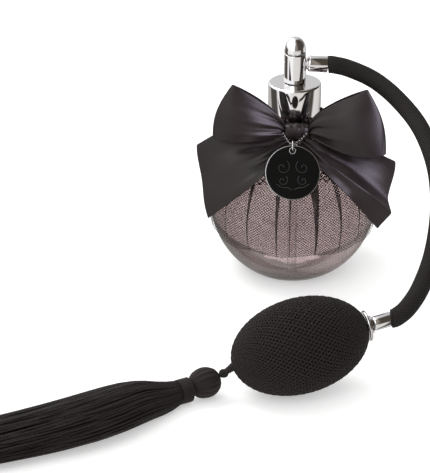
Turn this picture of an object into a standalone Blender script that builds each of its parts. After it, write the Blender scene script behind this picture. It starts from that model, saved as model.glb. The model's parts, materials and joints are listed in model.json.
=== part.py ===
"""Perfume bottle with a bulb atomiser, modelled as separate pieces.

A round glass flask wears a tulle skirt and a wide satin bow. Its chrome closure carries a
spray head, and a braided hose runs from the head to a netted rubber bulb with a tassel.
Metres, +Z up. The origin is the middle of the flask's flat base, and the bow faces -Y.
Run with: blender --background --python part.py
"""

import math

import bmesh
import bpy
from mathutils import Matrix, Vector

MM = 0.001
GAP = 0.3 * MM

# glass flask
FLASK_RADIUS = 35 * MM
FLASK_CENTRE_Z = 30 * MM
FLASK_WALL = 3 * MM
FLASK_FLOOR = 5 * MM
NECK_RADIUS = 8 * MM
NECK_BORE = 5.5 * MM
NECK_TOP_Z = 77 * MM
PERFUME_LEVEL_Z = 56 * MM
ROUND = 32

# closure and spray head, all on the Z axis
COLLAR_RADIUS = 11 * MM
COLLAR_WALL = 0.8 * MM
COLLAR_BOTTOM_Z = 69 * MM
COLLAR_TOP_Z = 83 * MM
HEAD_RADIUS = 4.6 * MM
HEAD_SEAM_Z = 95.6 * MM
HEAD_APEX_Z = 102.6 * MM
STEM_RADIUS = 3 * MM
STEM_BOTTOM_Z = 63 * MM
STEM_TOP_Z = 93.5 * MM
TUBE_RADIUS = 1.5 * MM
TUBE_BORE = 0.9 * MM
TUBE_BOTTOM_Z = 7 * MM
TUBE_TOP_Z = 74 * MM

# air inlet on the head, tilted a little down towards the hose
INLET_Z = 91.1 * MM
INLET_TILT = math.radians(-3)
SPIGOT_START = 4.0 * MM
FERRULE_START = 5.5 * MM
FERRULE_END = 13.4 * MM
HEAD_FERRULE_RADIUS = 3.35 * MM

# squeeze bulb, lying on its side with the hose end a little raised
BULB_CENTRE = Vector((-0.8, -111.0, 18.9)) * MM
BULB_YAW = math.radians(14)
BULB_TILT = math.radians(11)
BULB_HALF_LENGTH = 26.9 * MM
BULB_RADIUS = 18.3 * MM
NET_THICKNESS = 0.9 * MM
RUBBER_WALL = 2.0 * MM
BULB_CAP_END = 28.9 * MM
BULB_FERRULE_END = 36.5 * MM
BULB_FERRULE_RADIUS = 2.8 * MM

# braided hose: its route between the two ferrules, in millimetres
HOSE_RADIUS = 3.6 * MM
HOSE_ROUTE = [
    (22.5, -0.4, 88.9),
    (32.8, -4.3, 85.2),
    (42.4, -14.0, 79.8),
    (50.3, -28.0, 73.0),
    (54.9, -45.0, 63.4),
    (55.0, -62.0, 52.4),
    (51.6, -78.0, 41.5),
    (46.0, -91.0, 33.3),
    (40.6, -98.9, 28.8),
]
HOSE_POINTS = 20
HOSE_STUB = 2 * MM

# tassel, from the bulb's tail along the floor
TASSEL_PIVOT = Vector((-27.4, -117.3, 13.4)) * MM
TASSEL_KNOT = Vector((-29.7, -115.9, 9.6)) * MM
TASSEL_KNOT_RADIUS = 1.35 * MM
TASSEL_HEAD = Vector((-36.9, -117.4, 6.4)) * MM
TASSEL_YAW = math.radians(207)
TASSEL_HEAD_RADIUS = 5.8 * MM
TASSEL_HEAD_HALF = 6.2 * MM
WRAP_RADIUS = 4.7 * MM
WRAP_LENGTH = 4.8 * MM
SKIRT_LENGTH = 88 * MM
SKIRT_START_RADIUS = 4.9 * MM
SKIRT_HALF_WIDTH = 14.5 * MM
SKIRT_HALF_HEIGHT = 7.6 * MM
SKIRT_BOW = 4.5 * MM

# satin ribbon
RIBBON_THICKNESS = 0.6 * MM
BAND_INNER, BAND_OUTER = 10.7 * MM, 11.6 * MM
BAND_BOTTOM_Z, BAND_TOP_Z = 64.7 * MM, 68.6 * MM
KNOT_CENTRE = Vector((0.5, -14.7, 67.1)) * MM
KNOT_SIZE = Vector((9.6, 5.2, 6.0)) * MM
LOOP_BULGE = 2.4 * MM

# round tag, leaning on the flask
TAG_RADIUS = 11.2 * MM
TAG_THICKNESS = 0.9 * MM
TAG_LEAN = math.radians(30)
TAG_OFFSET = 37.2 * MM
TAG_RISE = 6.8 * MM
TAG_X = -1.4 * MM
TAG_HOLE_UP = 9.0 * MM
TAG_HOLE_RADIUS = 0.9 * MM
RING_RADIUS = 2.0 * MM
RING_WIRE = 0.3 * MM
CHAIN_WIRE = 0.35 * MM

# tulle skirt
TULLE_THICKNESS = 0.7 * MM
TULLE_HEM_Z = 19 * MM


def clear_scene():
    for obj in list(bpy.data.objects):
        bpy.data.objects.remove(obj, do_unlink=True)


def material(name, colour, roughness, metallic=0.0, transmission=0.0):
    found = bpy.data.materials.get(name)
    if found:
        return found
    made = bpy.data.materials.new(name)
    made.use_nodes = True
    shader = made.node_tree.nodes["Principled BSDF"]
    shader.inputs["Base Color"].default_value = (*colour, 1.0)
    shader.inputs["Roughness"].default_value = roughness
    shader.inputs["Metallic"].default_value = metallic
    shader.inputs["Transmission Weight"].default_value = transmission
    return made


def chrome():
    return material("chrome", (0.82, 0.82, 0.83), 0.08, metallic=1.0)


def satin():
    return material("black_satin", (0.03, 0.027, 0.033), 0.4)


def thread_black():
    return material("black_thread", (0.018, 0.016, 0.018), 0.75)


def add_object(name, bm, finish):
    """Turn a bmesh into a named object with outward faces and one material."""
    bmesh.ops.recalc_face_normals(bm, faces=bm.faces)
    mesh = bpy.data.meshes.new(name)
    bm.to_mesh(mesh)
    bm.free()
    mesh.materials.append(finish)
    mesh.shade_smooth()
    mesh.set_sharp_from_angle(angle=math.radians(35))
    obj = bpy.data.objects.new(name, mesh)
    bpy.context.scene.collection.objects.link(obj)
    return obj


def arc(centre, radius, start, end, steps):
    """Points (r, z) along a circular arc, angles in degrees from the +r direction."""
    points = []
    for i in range(steps + 1):
        a = math.radians(start + (end - start) * i / steps)
        points.append((centre[0] + radius * math.cos(a), centre[1] + radius * math.sin(a)))
    return points


def revolve(name, profile, finish, segments=24):
    """Turn a closed outline of (r, z) points about Z; points with r = 0 become poles."""
    bm = bmesh.new()
    rings = []
    for r, z in profile:
        if r < 1e-7:
            rings.append([bm.verts.new((0, 0, z))])
        else:
            turn = [2 * math.pi * k / segments for k in range(segments)]
            rings.append([bm.verts.new((r * math.cos(a), r * math.sin(a), z)) for a in turn])
    for ring, after in zip(rings, rings[1:] + rings[:1]):
        if len(ring) == 1 and len(after) == 1:
            continue
        for k in range(segments):
            n = (k + 1) % segments
            if len(ring) == 1:
                bm.faces.new((ring[0], after[n], after[k]))
            elif len(after) == 1:
                bm.faces.new((ring[k], ring[n], after[0]))
            else:
                bm.faces.new((ring[k], ring[n], after[n], after[k]))
    return add_object(name, bm, finish)


def tube(name, outer, bore, bottom, top, finish, segments=24):
    outline = [(bore, bottom), (outer, bottom), (outer, top), (bore, top)]
    return revolve(name, outline, finish, segments)


def along(obj, origin, direction):
    """Point an object's local Z along a direction and set it at an origin."""
    turn = Vector(direction).to_track_quat("Z", "Y").to_matrix().to_4x4()
    obj.matrix_world = Matrix.Translation(origin) @ turn
    return obj


def cut(obj, cutter):
    """Take the cutter's shape out of an object and hide the cutter."""
    cutter.hide_render = True
    cutter.display_type = "WIRE"
    boolean = obj.modifiers.new("cut", "BOOLEAN")
    boolean.operation = "DIFFERENCE"
    boolean.solver = "EXACT"
    boolean.object = cutter
    return obj


def hang_on(pivot_name, location, pieces):
    """Parent pieces to an empty on their joint's axis without moving them."""
    pivot = bpy.data.objects.new(pivot_name, None)
    pivot.location = location
    bpy.context.scene.collection.objects.link(pivot)
    for piece in pieces:
        piece.parent = pivot
        piece.matrix_parent_inverse = Matrix.Translation(-Vector(location))


def sheet_solid(name, rows, finish, closed=False):
    """A thin closed solid from a grid of points; closed joins the last row to the first."""
    bm = bmesh.new()
    grid = [[bm.verts.new(p) for p in row] for row in rows]
    pairs = list(zip(grid, grid[1:] + (grid[:1] if closed else [])))
    for row, after in pairs:
        for k in range(len(row) - 1):
            bm.faces.new((row[k], row[k + 1], after[k + 1], after[k]))
    obj = add_object(name, bm, finish)
    thicken = obj.modifiers.new("thickness", "SOLIDIFY")
    thicken.thickness = RIBBON_THICKNESS
    thicken.offset = 0.0
    return obj


def smooth_path(points, count):
    """Evenly parted points on a smooth curve through the given ones (Catmull-Rom)."""
    ends = [points[0] * 2 - points[1]] + list(points) + [points[-1] * 2 - points[-2]]
    dense = []
    for a, b, c, d in zip(ends, ends[1:], ends[2:], ends[3:]):
        for i in range(40):
            t = i / 40
            dense.append(
                0.5
                * (
                    2 * b
                    + (c - a) * t
                    + (2 * a - 5 * b + 4 * c - d) * t**2
                    + (3 * b - a - 3 * c + d) * t**3
                )
            )
    dense.append(Vector(points[-1]))
    lengths = [0.0]
    for p, q in zip(dense, dense[1:]):
        lengths.append(lengths[-1] + (q - p).length)
    path, k = [], 0
    for i in range(count):
        goal = lengths[-1] * i / (count - 1)
        while k < len(dense) - 2 and lengths[k + 1] < goal:
            k += 1
        share = (goal - lengths[k]) / (lengths[k + 1] - lengths[k])
        path.append(dense[k].lerp(dense[k + 1], min(share, 1.0)))
    return path


# ---------------------------------------------------------------- flask


def angle_at(radius, z):
    """Elevation angle, in degrees, of the ball's surface at height z."""
    return math.degrees(math.asin((z - FLASK_CENTRE_Z) / radius))


def glass_bottle():
    finish = material("clear_glass", (0.93, 0.95, 0.95), 0.02, transmission=1.0)
    centre = (0, FLASK_CENTRE_Z)
    inner = FLASK_RADIUS - FLASK_WALL
    shoulder = math.degrees(math.acos(NECK_RADIUS / FLASK_RADIUS))
    outline = [(0, 0)]
    outline += arc(centre, FLASK_RADIUS, angle_at(FLASK_RADIUS, 0), shoulder, 13)
    outline += [(NECK_RADIUS, NECK_TOP_Z - 0.5 * MM), (NECK_RADIUS - 0.5 * MM, NECK_TOP_Z)]
    outline += [(NECK_BORE, NECK_TOP_Z)]
    inner_top = math.degrees(math.acos(NECK_BORE / inner))
    outline += arc(centre, inner, inner_top, angle_at(inner, FLASK_FLOOR), 11)
    outline += [(0, FLASK_FLOOR)]
    return revolve("glass_bottle", outline, finish, ROUND)


def perfume():
    finish = material("rose_perfume", (0.62, 0.45, 0.47), 0.05, transmission=0.9)
    centre = (0, FLASK_CENTRE_Z)
    radius = FLASK_RADIUS - FLASK_WALL - GAP
    bore = TUBE_RADIUS + GAP
    floor = FLASK_FLOOR + GAP
    outline = [(bore, floor)]
    outline += arc(centre, radius, angle_at(radius, floor), angle_at(radius, PERFUME_LEVEL_Z), 9)
    outline += [(bore, PERFUME_LEVEL_Z)]
    return revolve("perfume", outline, finish, ROUND)


def tulle_skirt():
    """Net cloth gathered at the neck and spread over the flask to a hem."""
    finish = material("black_tulle", (0.05, 0.045, 0.05), 0.7)
    centre = (0, FLASK_CENTRE_Z)
    inner = FLASK_RADIUS + GAP + 0.05 * MM
    outer = inner + TULLE_THICKNESS
    neck_in, neck_out = NECK_RADIUS + 0.4 * MM, NECK_RADIUS + 1.2 * MM
    top = 68.2 * MM
    hem_in = math.degrees(math.asin((TULLE_HEM_Z - FLASK_CENTRE_Z) / inner))
    hem_out = math.degrees(math.asin((TULLE_HEM_Z - FLASK_CENTRE_Z) / outer))
    up_in = math.degrees(math.acos(neck_in / inner))
    up_out = math.degrees(math.acos(neck_out / outer))
    outline = arc(centre, outer, hem_out, up_out, 10) + [(neck_out, top), (neck_in, top)]
    outline += arc(centre, inner, up_in, hem_in, 10)
    return revolve("tulle_skirt", outline, finish, ROUND)


def gather_thread():
    outline = arc((NECK_RADIUS + 1.95 * MM, 66.4 * MM), 0.4 * MM, 0, 300, 5)
    return revolve("gather_thread", outline, thread_black(), 24)


# ---------------------------------------------------------------- closure


def neck_gasket():
    finish = material("clear_rubber", (0.75, 0.74, 0.7), 0.5)
    return tube(
        "neck_gasket", NECK_RADIUS - 0.2 * MM, NECK_BORE - 1.2 * MM,
        NECK_TOP_Z + GAP, NECK_TOP_Z + 1.7 * MM, finish, 32,
    )


def closure_insert():
    """Plastic cap inside the collar, which holds on to the neck."""
    finish = material("black_plastic", (0.03, 0.03, 0.03), 0.4)
    outer = COLLAR_RADIUS - COLLAR_WALL - GAP
    inner = NECK_RADIUS + GAP
    bottom, top = COLLAR_BOTTOM_Z + 0.7 * MM, COLLAR_TOP_Z - COLLAR_WALL - GAP
    ceiling = NECK_TOP_Z + 2 * MM
    bore = STEM_RADIUS + GAP
    outline = [(inner, bottom), (outer, bottom), (outer, top)]
    outline += [(bore, top), (bore, ceiling), (inner, ceiling)]
    return revolve("closure_insert", outline, finish, 24)


def collar():
    """Drawn chrome cup with a rolled top edge."""
    edge = 0.9 * MM
    corner = (COLLAR_RADIUS - edge, COLLAR_TOP_Z - edge)
    inner = COLLAR_RADIUS - COLLAR_WALL
    bore = STEM_RADIUS + GAP
    outline = [(inner, COLLAR_BOTTOM_Z), (COLLAR_RADIUS, COLLAR_BOTTOM_Z)]
    outline += arc(corner, edge, 0, 90, 4)
    outline += [(bore, COLLAR_TOP_Z), (bore, COLLAR_TOP_Z - COLLAR_WALL)]
    outline += [(inner, COLLAR_TOP_Z - COLLAR_WALL)]
    return revolve("collar", outline, chrome(), 32)


def stem():
    """Inner body of the head: it takes the dip tube and guides liquid up to the jet."""
    finish = material("white_plastic", (0.85, 0.85, 0.83), 0.35)
    socket = TUBE_RADIUS + 0.15 * MM
    channel = 0.7 * MM
    outline = [(socket, STEM_BOTTOM_Z), (STEM_RADIUS, STEM_BOTTOM_Z), (STEM_RADIUS, STEM_TOP_Z)]
    outline += [(channel, STEM_TOP_Z), (channel, TUBE_TOP_Z + 1 * MM)]
    outline += [(socket, TUBE_TOP_Z + 1 * MM)]
    return revolve("stem", outline, finish, 24)


def dip_tube():
    finish = material("clear_plastic", (0.9, 0.9, 0.9), 0.15, transmission=0.8)
    return tube(
        "dip_tube", TUBE_RADIUS - 0.1 * MM, TUBE_BORE, TUBE_BOTTOM_Z, TUBE_TOP_Z, finish, 16
    )


def head_barrel():
    """Chrome barrel with a side hole for the air inlet and one for the jet opposite."""
    bottom, top = COLLAR_TOP_Z + GAP, HEAD_SEAM_Z
    bore = STEM_RADIUS + GAP
    edge = 0.25 * MM
    outline = [(bore, bottom), (HEAD_RADIUS - edge, bottom), (HEAD_RADIUS, bottom + edge)]
    outline += [(HEAD_RADIUS, top - edge), (HEAD_RADIUS - edge, top)]
    outline += [(bore, top)]
    barrel = revolve("head_barrel", outline, chrome(), 28)
    inlet = tube_cutter("inlet_hole", 1.9 * MM, inlet_point(2.5 * MM), inlet_axis(), 4 * MM)
    jet = tube_cutter(
        "jet_hole", 1.35 * MM, Vector((-2.4 * MM, 0, INLET_Z)), Vector((-1, 0, 0)), 4 * MM
    )
    cut(cut(barrel, inlet), jet)
    return barrel


def tube_cutter(name, radius, start, direction, length):
    rod = revolve(name, [(0, 0), (radius, 0), (radius, length), (0, length)], chrome(), 16)
    return along(rod, start, direction)


def dome_cap():
    """Bullet-shaped end of the head."""
    base = HEAD_SEAM_Z + GAP
    height = HEAD_APEX_Z - base
    outline = [(0, base)]
    for i in range(7):
        a = math.radians(90 * i / 6)
        outline.append((HEAD_RADIUS * math.cos(a) ** 0.82, base + height * math.sin(a)))
    outline[-1] = (0, base + height)
    return revolve("dome_cap", outline, chrome(), 28)


def spray_nozzle():
    """Small jet set in the barrel, opposite the hose."""
    outline = [(0.25 * MM, 0), (1.1 * MM, 0), (1.1 * MM, 1.3 * MM), (0.9 * MM, 1.6 * MM)]
    outline += [(0.25 * MM, 1.6 * MM)]
    jet = revolve("spray_nozzle", outline, chrome(), 16)
    return along(jet, Vector((-3.3 * MM, 0, INLET_Z)), Vector((-1, 0, 0)))


def inlet_axis():
    return Vector((math.cos(INLET_TILT), 0, math.sin(INLET_TILT)))


def inlet_point(distance):
    return Vector((0, 0, INLET_Z + 0.25 * MM)) + inlet_axis() * distance


def air_spigot():
    """Hose barb with a round flange, which carries the air into the head."""
    flange, pipe, bore = 2.5 * MM, 1.6 * MM, 0.9 * MM
    start, flange_start = SPIGOT_START - 0.4 * MM, HEAD_RADIUS + GAP
    flange_end, end = FERRULE_START - GAP, FERRULE_END - 1 * MM
    outline = [(bore, start), (pipe, start), (pipe, flange_start), (flange, flange_start)]
    outline += [(flange, flange_end), (pipe, flange_end), (pipe, end), (bore, end)]
    return along(revolve("air_spigot", outline, chrome(), 20), inlet_point(0), inlet_axis())


def ferrule(name, radius, start, end, origin, direction):
    """Chrome sleeve crimped on the end of the hose, with a rounded mouth."""
    edge, bore = 0.7 * MM, 2.0 * MM
    outline = [(bore, start), (radius - edge, start)]
    outline += arc((radius - edge, start + edge), edge, -60, 0, 2)
    outline += [(radius, end), (bore, end)]
    return along(revolve(name, outline, chrome(), 24), origin, direction)


def head_ferrule():
    return ferrule(
        "head_ferrule", HEAD_FERRULE_RADIUS, FERRULE_START, FERRULE_END,
        inlet_point(0), inlet_axis(),
    )


# ---------------------------------------------------------------- hose and bulb


def bulb_axis():
    level = math.cos(BULB_TILT)
    return Vector(
        (level * math.cos(BULB_YAW), level * math.sin(BULB_YAW), math.sin(BULB_TILT))
    )


def bulb_point(distance):
    return BULB_CENTRE + bulb_axis() * distance


def hose():
    """Braided hose, a round tube from the head's ferrule to the bulb's."""
    start = inlet_point(FERRULE_END + GAP)
    end = bulb_point(BULB_FERRULE_END + GAP)
    # the first and last stretches run straight out of their ferrules
    out_of_head = start + inlet_axis() * HOSE_STUB
    out_of_bulb = end + bulb_axis() * HOSE_STUB
    route = [out_of_head] + [Vector(p) * MM for p in HOSE_ROUTE] + [out_of_bulb]
    path = [start] + smooth_path(route, HOSE_POINTS) + [end]
    curve = bpy.data.curves.new("hose", "CURVE")
    curve.dimensions = "3D"
    curve.bevel_depth = HOSE_RADIUS
    curve.bevel_resolution = 3
    curve.use_fill_caps = True
    line = curve.splines.new("POLY")
    line.points.add(len(path) - 1)
    for point, place in zip(line.points, path):
        point.co = (*place, 1.0)
    curve.materials.append(material("black_braid", (0.02, 0.018, 0.018), 0.8))
    obj = bpy.data.objects.new("hose", curve)
    bpy.context.scene.collection.objects.link(obj)
    return obj


def bulb_shell(name, half_length, radius, wall, mouth, tail, finish, segments, steps):
    """Egg-shaped shell along the bulb's axis, open at the hose end and at the tail."""
    def egg(length, girth, hole_near, hole_far):
        low, high = math.asin(hole_far / girth), math.pi - math.asin(hole_near / girth)
        turn = [low + (high - low) * i / steps for i in range(steps + 1)]
        return [(girth * math.sin(a), -length * math.cos(a)) for a in turn]

    outer = egg(half_length, radius, mouth, tail)
    inner = egg(half_length - wall, radius - wall, mouth, tail)
    shell = revolve(name, outer + inner[::-1], finish, segments)
    return along(shell, BULB_CENTRE, bulb_axis())


def bulb_net():
    finish = thread_black()
    return bulb_shell(
        "bulb_net", BULB_HALF_LENGTH, BULB_RADIUS, NET_THICKNESS,
        4.3 * MM, 1.2 * MM, finish, 24, 12,
    )


def rubber_bulb():
    finish = material("black_rubber", (0.02, 0.02, 0.02), 0.6)
    inset = NET_THICKNESS + GAP
    return bulb_shell(
        "rubber_bulb", BULB_HALF_LENGTH - inset, BULB_RADIUS - inset, RUBBER_WALL,
        4.1 * MM, 3.9 * MM, finish, 24, 8,
    )


def valve(name, start, length, toward):
    """Check valve body: a narrow bore that opens into a round chamber for the ball."""
    finish = material("brass_valve", (0.72, 0.55, 0.28), 0.3, metallic=1.0)
    outer, bore, chamber = 3.5 * MM, 0.9 * MM, 1.9 * MM
    room_start, room_end = 2.0 * MM, 6.6 * MM
    outline = [(bore, 0), (outer, 0), (outer, length), (bore, length)]
    outline += [(bore, room_end), (chamber, room_end), (chamber, room_start + 0.9 * MM)]
    outline += [(bore, room_start)]
    body = revolve(name, outline, finish, 20)
    return along(body, start, toward)


def ball(name, centre):
    finish = material("steel_ball", (0.6, 0.6, 0.62), 0.2, metallic=1.0)
    radius = 1.4 * MM
    outline = arc((0, 0), radius, -90, 90, 8)
    outline[0], outline[-1] = (0, -radius), (0, radius)
    return along(revolve(name, outline, finish, 14), centre, bulb_axis())


def outlet_valve():
    return valve("outlet_valve", bulb_point(18.5 * MM), 8.0 * MM, bulb_axis())


def inlet_valve():
    return valve("inlet_valve", bulb_point(-23.6 * MM), 7.6 * MM, bulb_axis())


def bulb_cap():
    """Stepped chrome cap that closes the bulb's hose end."""
    base, bore = 26.9 * MM, 0.9 * MM
    seat, rim, edge, neck = 4.2 * MM, 6.0 * MM, 0.4 * MM, 3.4 * MM
    # the rim hangs back over the end of the net
    outline = [(bore, base), (seat, base), (rim - edge, base - 0.7 * MM), (rim, base - edge)]
    outline += [(rim, base + edge), (rim - edge, base + 0.9 * MM), (neck, base + 1.3 * MM)]
    outline += [(neck, BULB_CAP_END), (bore, BULB_CAP_END)]
    return along(revolve("bulb_cap", outline, chrome(), 24), BULB_CENTRE, bulb_axis())


def bulb_ferrule():
    start = BULB_CAP_END + GAP
    return ferrule(
        "bulb_ferrule", BULB_FERRULE_RADIUS, start, BULB_FERRULE_END, BULB_CENTRE, bulb_axis()
    )


# ---------------------------------------------------------------- tassel


def tassel_direction():
    return Vector((math.cos(TASSEL_YAW), math.sin(TASSEL_YAW), 0))


def tassel_cord():
    """Twisted end of the net, from the bulb's tail down to the knot."""
    start = TASSEL_PIVOT
    run = TASSEL_KNOT - start
    length = run.length - TASSEL_KNOT_RADIUS - GAP
    outline = [(0, 0), (1.0 * MM, 0), (0.9 * MM, length), (0, length)]
    return along(revolve("tassel_cord", outline, thread_black(), 12), start, run)


def tassel_knot():
    radius = TASSEL_KNOT_RADIUS
    outline = arc((0, 0), radius, -90, 90, 8)
    outline[0], outline[-1] = (0, -radius), (0, radius)
    knot = revolve("tassel_knot", outline, thread_black(), 14)
    return along(knot, TASSEL_KNOT, TASSEL_HEAD - TASSEL_KNOT)


def tassel_head():
    """Round head of the tassel, slightly longer than it is wide."""
    outline = []
    for i in range(11):
        a = math.radians(-90 + 180 * i / 10)
        girth = TASSEL_HEAD_RADIUS * math.cos(a) ** 0.8
        outline.append((girth, TASSEL_HEAD_HALF * math.sin(a)))
    outline[0] = (0, outline[0][1])
    outline[-1] = (0, outline[-1][1])
    head = revolve("tassel_head", outline, thread_black(), 20)
    return along(head, TASSEL_HEAD, tassel_direction())


def tassel_wrap():
    """Thread wound under the head."""
    start = TASSEL_HEAD + tassel_direction() * (TASSEL_HEAD_HALF + GAP)
    start.z = WRAP_RADIUS + 0.4 * MM
    length, edge = WRAP_LENGTH, 0.6 * MM
    outline = [(0, 0), (WRAP_RADIUS - edge, 0), (WRAP_RADIUS, edge)]
    outline += [(WRAP_RADIUS, length - edge), (WRAP_RADIUS - edge, length), (0, length)]
    return along(revolve("tassel_wrap", outline, thread_black(), 20), start, tassel_direction())


def tassel_skirt():
    """The hank of strands: it swells past the winding, then lies on the floor in an arc."""
    direction = tassel_direction()
    side = Vector((-direction.y, direction.x, 0))
    start = TASSEL_HEAD + direction * (TASSEL_HEAD_HALF + WRAP_LENGTH + 2 * GAP)
    steps, around = 10, 16
    swell_end = 0.35
    bm = bmesh.new()
    rings = []
    for i in range(steps + 1):
        t = i / steps
        swell = math.sin(min(1.0, t / swell_end) * math.pi / 2)
        half_width = SKIRT_START_RADIUS + (SKIRT_HALF_WIDTH - SKIRT_START_RADIUS) * swell
        half_height = SKIRT_START_RADIUS + (SKIRT_HALF_HEIGHT - SKIRT_START_RADIUS) * swell
        centre = start + direction * (SKIRT_LENGTH * t)
        centre += side * (SKIRT_BOW * math.sin(math.pi * t))
        centre.z = half_height
        ring = []
        for k in range(around):
            a = 2 * math.pi * k / around
            across = side * (half_width * math.cos(a))
            ring.append(bm.verts.new(centre + across + Vector((0, 0, half_height * math.sin(a)))))
        rings.append(ring)
    for ring, after in zip(rings, rings[1:]):
        for k in range(around):
            n = (k + 1) % around
            bm.faces.new((ring[k], ring[n], after[n], after[k]))
    bm.faces.new(rings[0])
    bm.faces.new(rings[-1])
    return add_object("tassel_skirt", bm, thread_black())


# ---------------------------------------------------------------- bow


def neck_ribbon():
    outline = [(BAND_INNER, BAND_BOTTOM_Z), (BAND_OUTER, BAND_BOTTOM_Z)]
    outline += [(BAND_OUTER, BAND_TOP_Z), (BAND_INNER, BAND_TOP_Z)]
    return revolve("neck_ribbon", outline, satin(), 32)


def bow_knot():
    """The band of ribbon round the middle of the bow, as a rounded block."""
    bm = bmesh.new()
    bmesh.ops.create_cube(bm, size=1.0)
    bmesh.ops.scale(bm, vec=KNOT_SIZE, verts=bm.verts)
    bmesh.ops.translate(bm, vec=KNOT_CENTRE, verts=bm.verts)
    knot = add_object("bow_knot", bm, satin())
    rounded = knot.modifiers.new("rounded", "BEVEL")
    rounded.width = 1.5 * MM
    rounded.segments = 3
    return knot


def bow_loop(name, side, top_end, bottom_end, top_power, sag, lean):
    """One loop of ribbon: it runs out from the knot, turns round and comes back.

    top_end and bottom_end are the two corners of the turned end (distance out from X = 0,
    then height), sag lowers the middle of the lower edge, and lean brings it forward.
    """
    root_x = KNOT_SIZE.x / 2 + 0.8 * MM
    root_top, root_bottom = 69.6 * MM, 64.9 * MM
    around, across = 20, 4
    rows = []
    for i in range(around):
        a = 2 * math.pi * i / around
        t = (1 - math.cos(a)) / 2
        half_depth = 0.9 * MM + 3.4 * MM * math.sqrt(t)
        swing = math.sin(a)
        upper = Vector((
            root_x + (top_end[0] - root_x) * t,
            -15.0 * MM - 2.0 * MM * t,
            root_top + (top_end[1] - root_top) * t**top_power,
        ))
        lower = Vector((
            root_x + (bottom_end[0] - root_x) * t,
            -15.4 * MM - lean * math.sin(t * math.pi / 2),
            root_bottom + (bottom_end[1] - root_bottom) * t - sag * math.sin(math.pi * t),
        ))
        row = []
        for k in range(across + 1):
            share = k / across
            place = upper.lerp(lower, share)
            place.x += LOOP_BULGE * math.sin(math.pi * share) * t**2
            place.y += half_depth * swing
            row.append((KNOT_CENTRE.x + side * place.x, place.y, place.z))
        rows.append(row)
    return sheet_solid(name, rows, satin(), closed=True)


def bow_loop_left():
    return bow_loop(
        "bow_loop_left", -1, (26.4 * MM, 88.4 * MM), (34.4 * MM, 66.6 * MM),
        0.6, 1.2 * MM, 4.5 * MM,
    )


def bow_loop_right():
    return bow_loop(
        "bow_loop_right", 1, (28.4 * MM, 86.2 * MM), (36.2 * MM, 60.8 * MM),
        0.55, 2.4 * MM, 8.5 * MM,
    )


def bow_tail(name, corners):
    """One loose end of the ribbon, a smooth sheet through a few corner lines.

    corners holds three edge lines (upper, middle, lower), each from the knot outwards.
    """
    lines = [smooth_path([Vector(p) * MM for p in line], 10) for line in corners]
    rows = []
    for upper, middle, lower in zip(*lines):
        row = []
        for k in range(7):
            t = k / 6
            row.append(
                upper * ((1 - t) * (1 - 2 * t))
                + middle * (4 * t * (1 - t))
                + lower * (t * (2 * t - 1))
            )
        rows.append(row)
    return sheet_solid(name, rows, satin())


def bow_tail_left():
    return bow_tail("bow_tail_left", [
        [(-4.4, -15.2, 63.6), (-16, -13.5, 62.0), (-29, -12.5, 61.3), (-40, -13, 60)],
        [(-2.8, -16.5, 62.9), (-13, -20.5, 58.7), (-25.5, -19.5, 53), (-38.6, -17, 46)],
        [(-1.0, -17.5, 62.4), (-9, -25.7, 56.0), (-19.5, -28.2, 46.5), (-35.3, -20, 30)],
    ])


def bow_tail_right():
    return bow_tail("bow_tail_right", [
        [(5.2, -15.2, 63.6), (17, -13.0, 61.2), (30, -11.8, 57.5), (41, -14, 53)],
        [(3.6, -16.5, 62.9), (13.5, -20.4, 58.2), (26.5, -19.5, 50), (39.4, -16, 40)],
        [(1.9, -17.5, 62.4), (9.5, -25.9, 55.6), (21, -27.8, 43.8), (34.4, -17, 24)],
    ])


# ---------------------------------------------------------------- tag


def tag_normal():
    return Vector((0, -math.cos(TAG_LEAN), math.sin(TAG_LEAN)))


def tag_point(up, out=0.0):
    """A point on the tag's middle plane: up along the slope, out along its normal."""
    normal = tag_normal()
    slope = Vector((0, normal.z, -normal.y))
    centre = Vector((TAG_X, 0, FLASK_CENTRE_Z)) + normal * TAG_OFFSET
    return centre + slope * (TAG_RISE + up) + normal * out


def tag_hinge():
    return tag_point(TAG_HOLE_UP + 2 * RING_RADIUS - RING_WIRE - 2 * CHAIN_WIRE)


def tag():
    """Enamelled metal disc with a hole near its edge."""
    finish = material("black_enamel", (0.012, 0.012, 0.012), 0.12)
    half, edge = TAG_THICKNESS / 2, 0.15 * MM
    outline = [(0, -half), (TAG_RADIUS - edge, -half), (TAG_RADIUS, -half + edge)]
    outline += [(TAG_RADIUS, half - edge), (TAG_RADIUS - edge, half), (0, half)]
    disc = revolve("tag", outline, finish, 32)
    along(disc, tag_point(0), tag_normal())
    hole = tube_cutter(
        "tag_hole", TAG_HOLE_RADIUS, tag_point(TAG_HOLE_UP, -2 * MM), tag_normal(), 4 * MM
    )
    return cut(disc, hole)


def jump_ring():
    """Wire ring through the tag's hole, standing square to the tag."""
    outline = arc((RING_RADIUS, 0), RING_WIRE, 0, 300, 5)
    ring = revolve("jump_ring", outline, chrome(), 18)
    return along(ring, tag_point(TAG_HOLE_UP + RING_RADIUS), Vector((1, 0, 0)))


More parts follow.
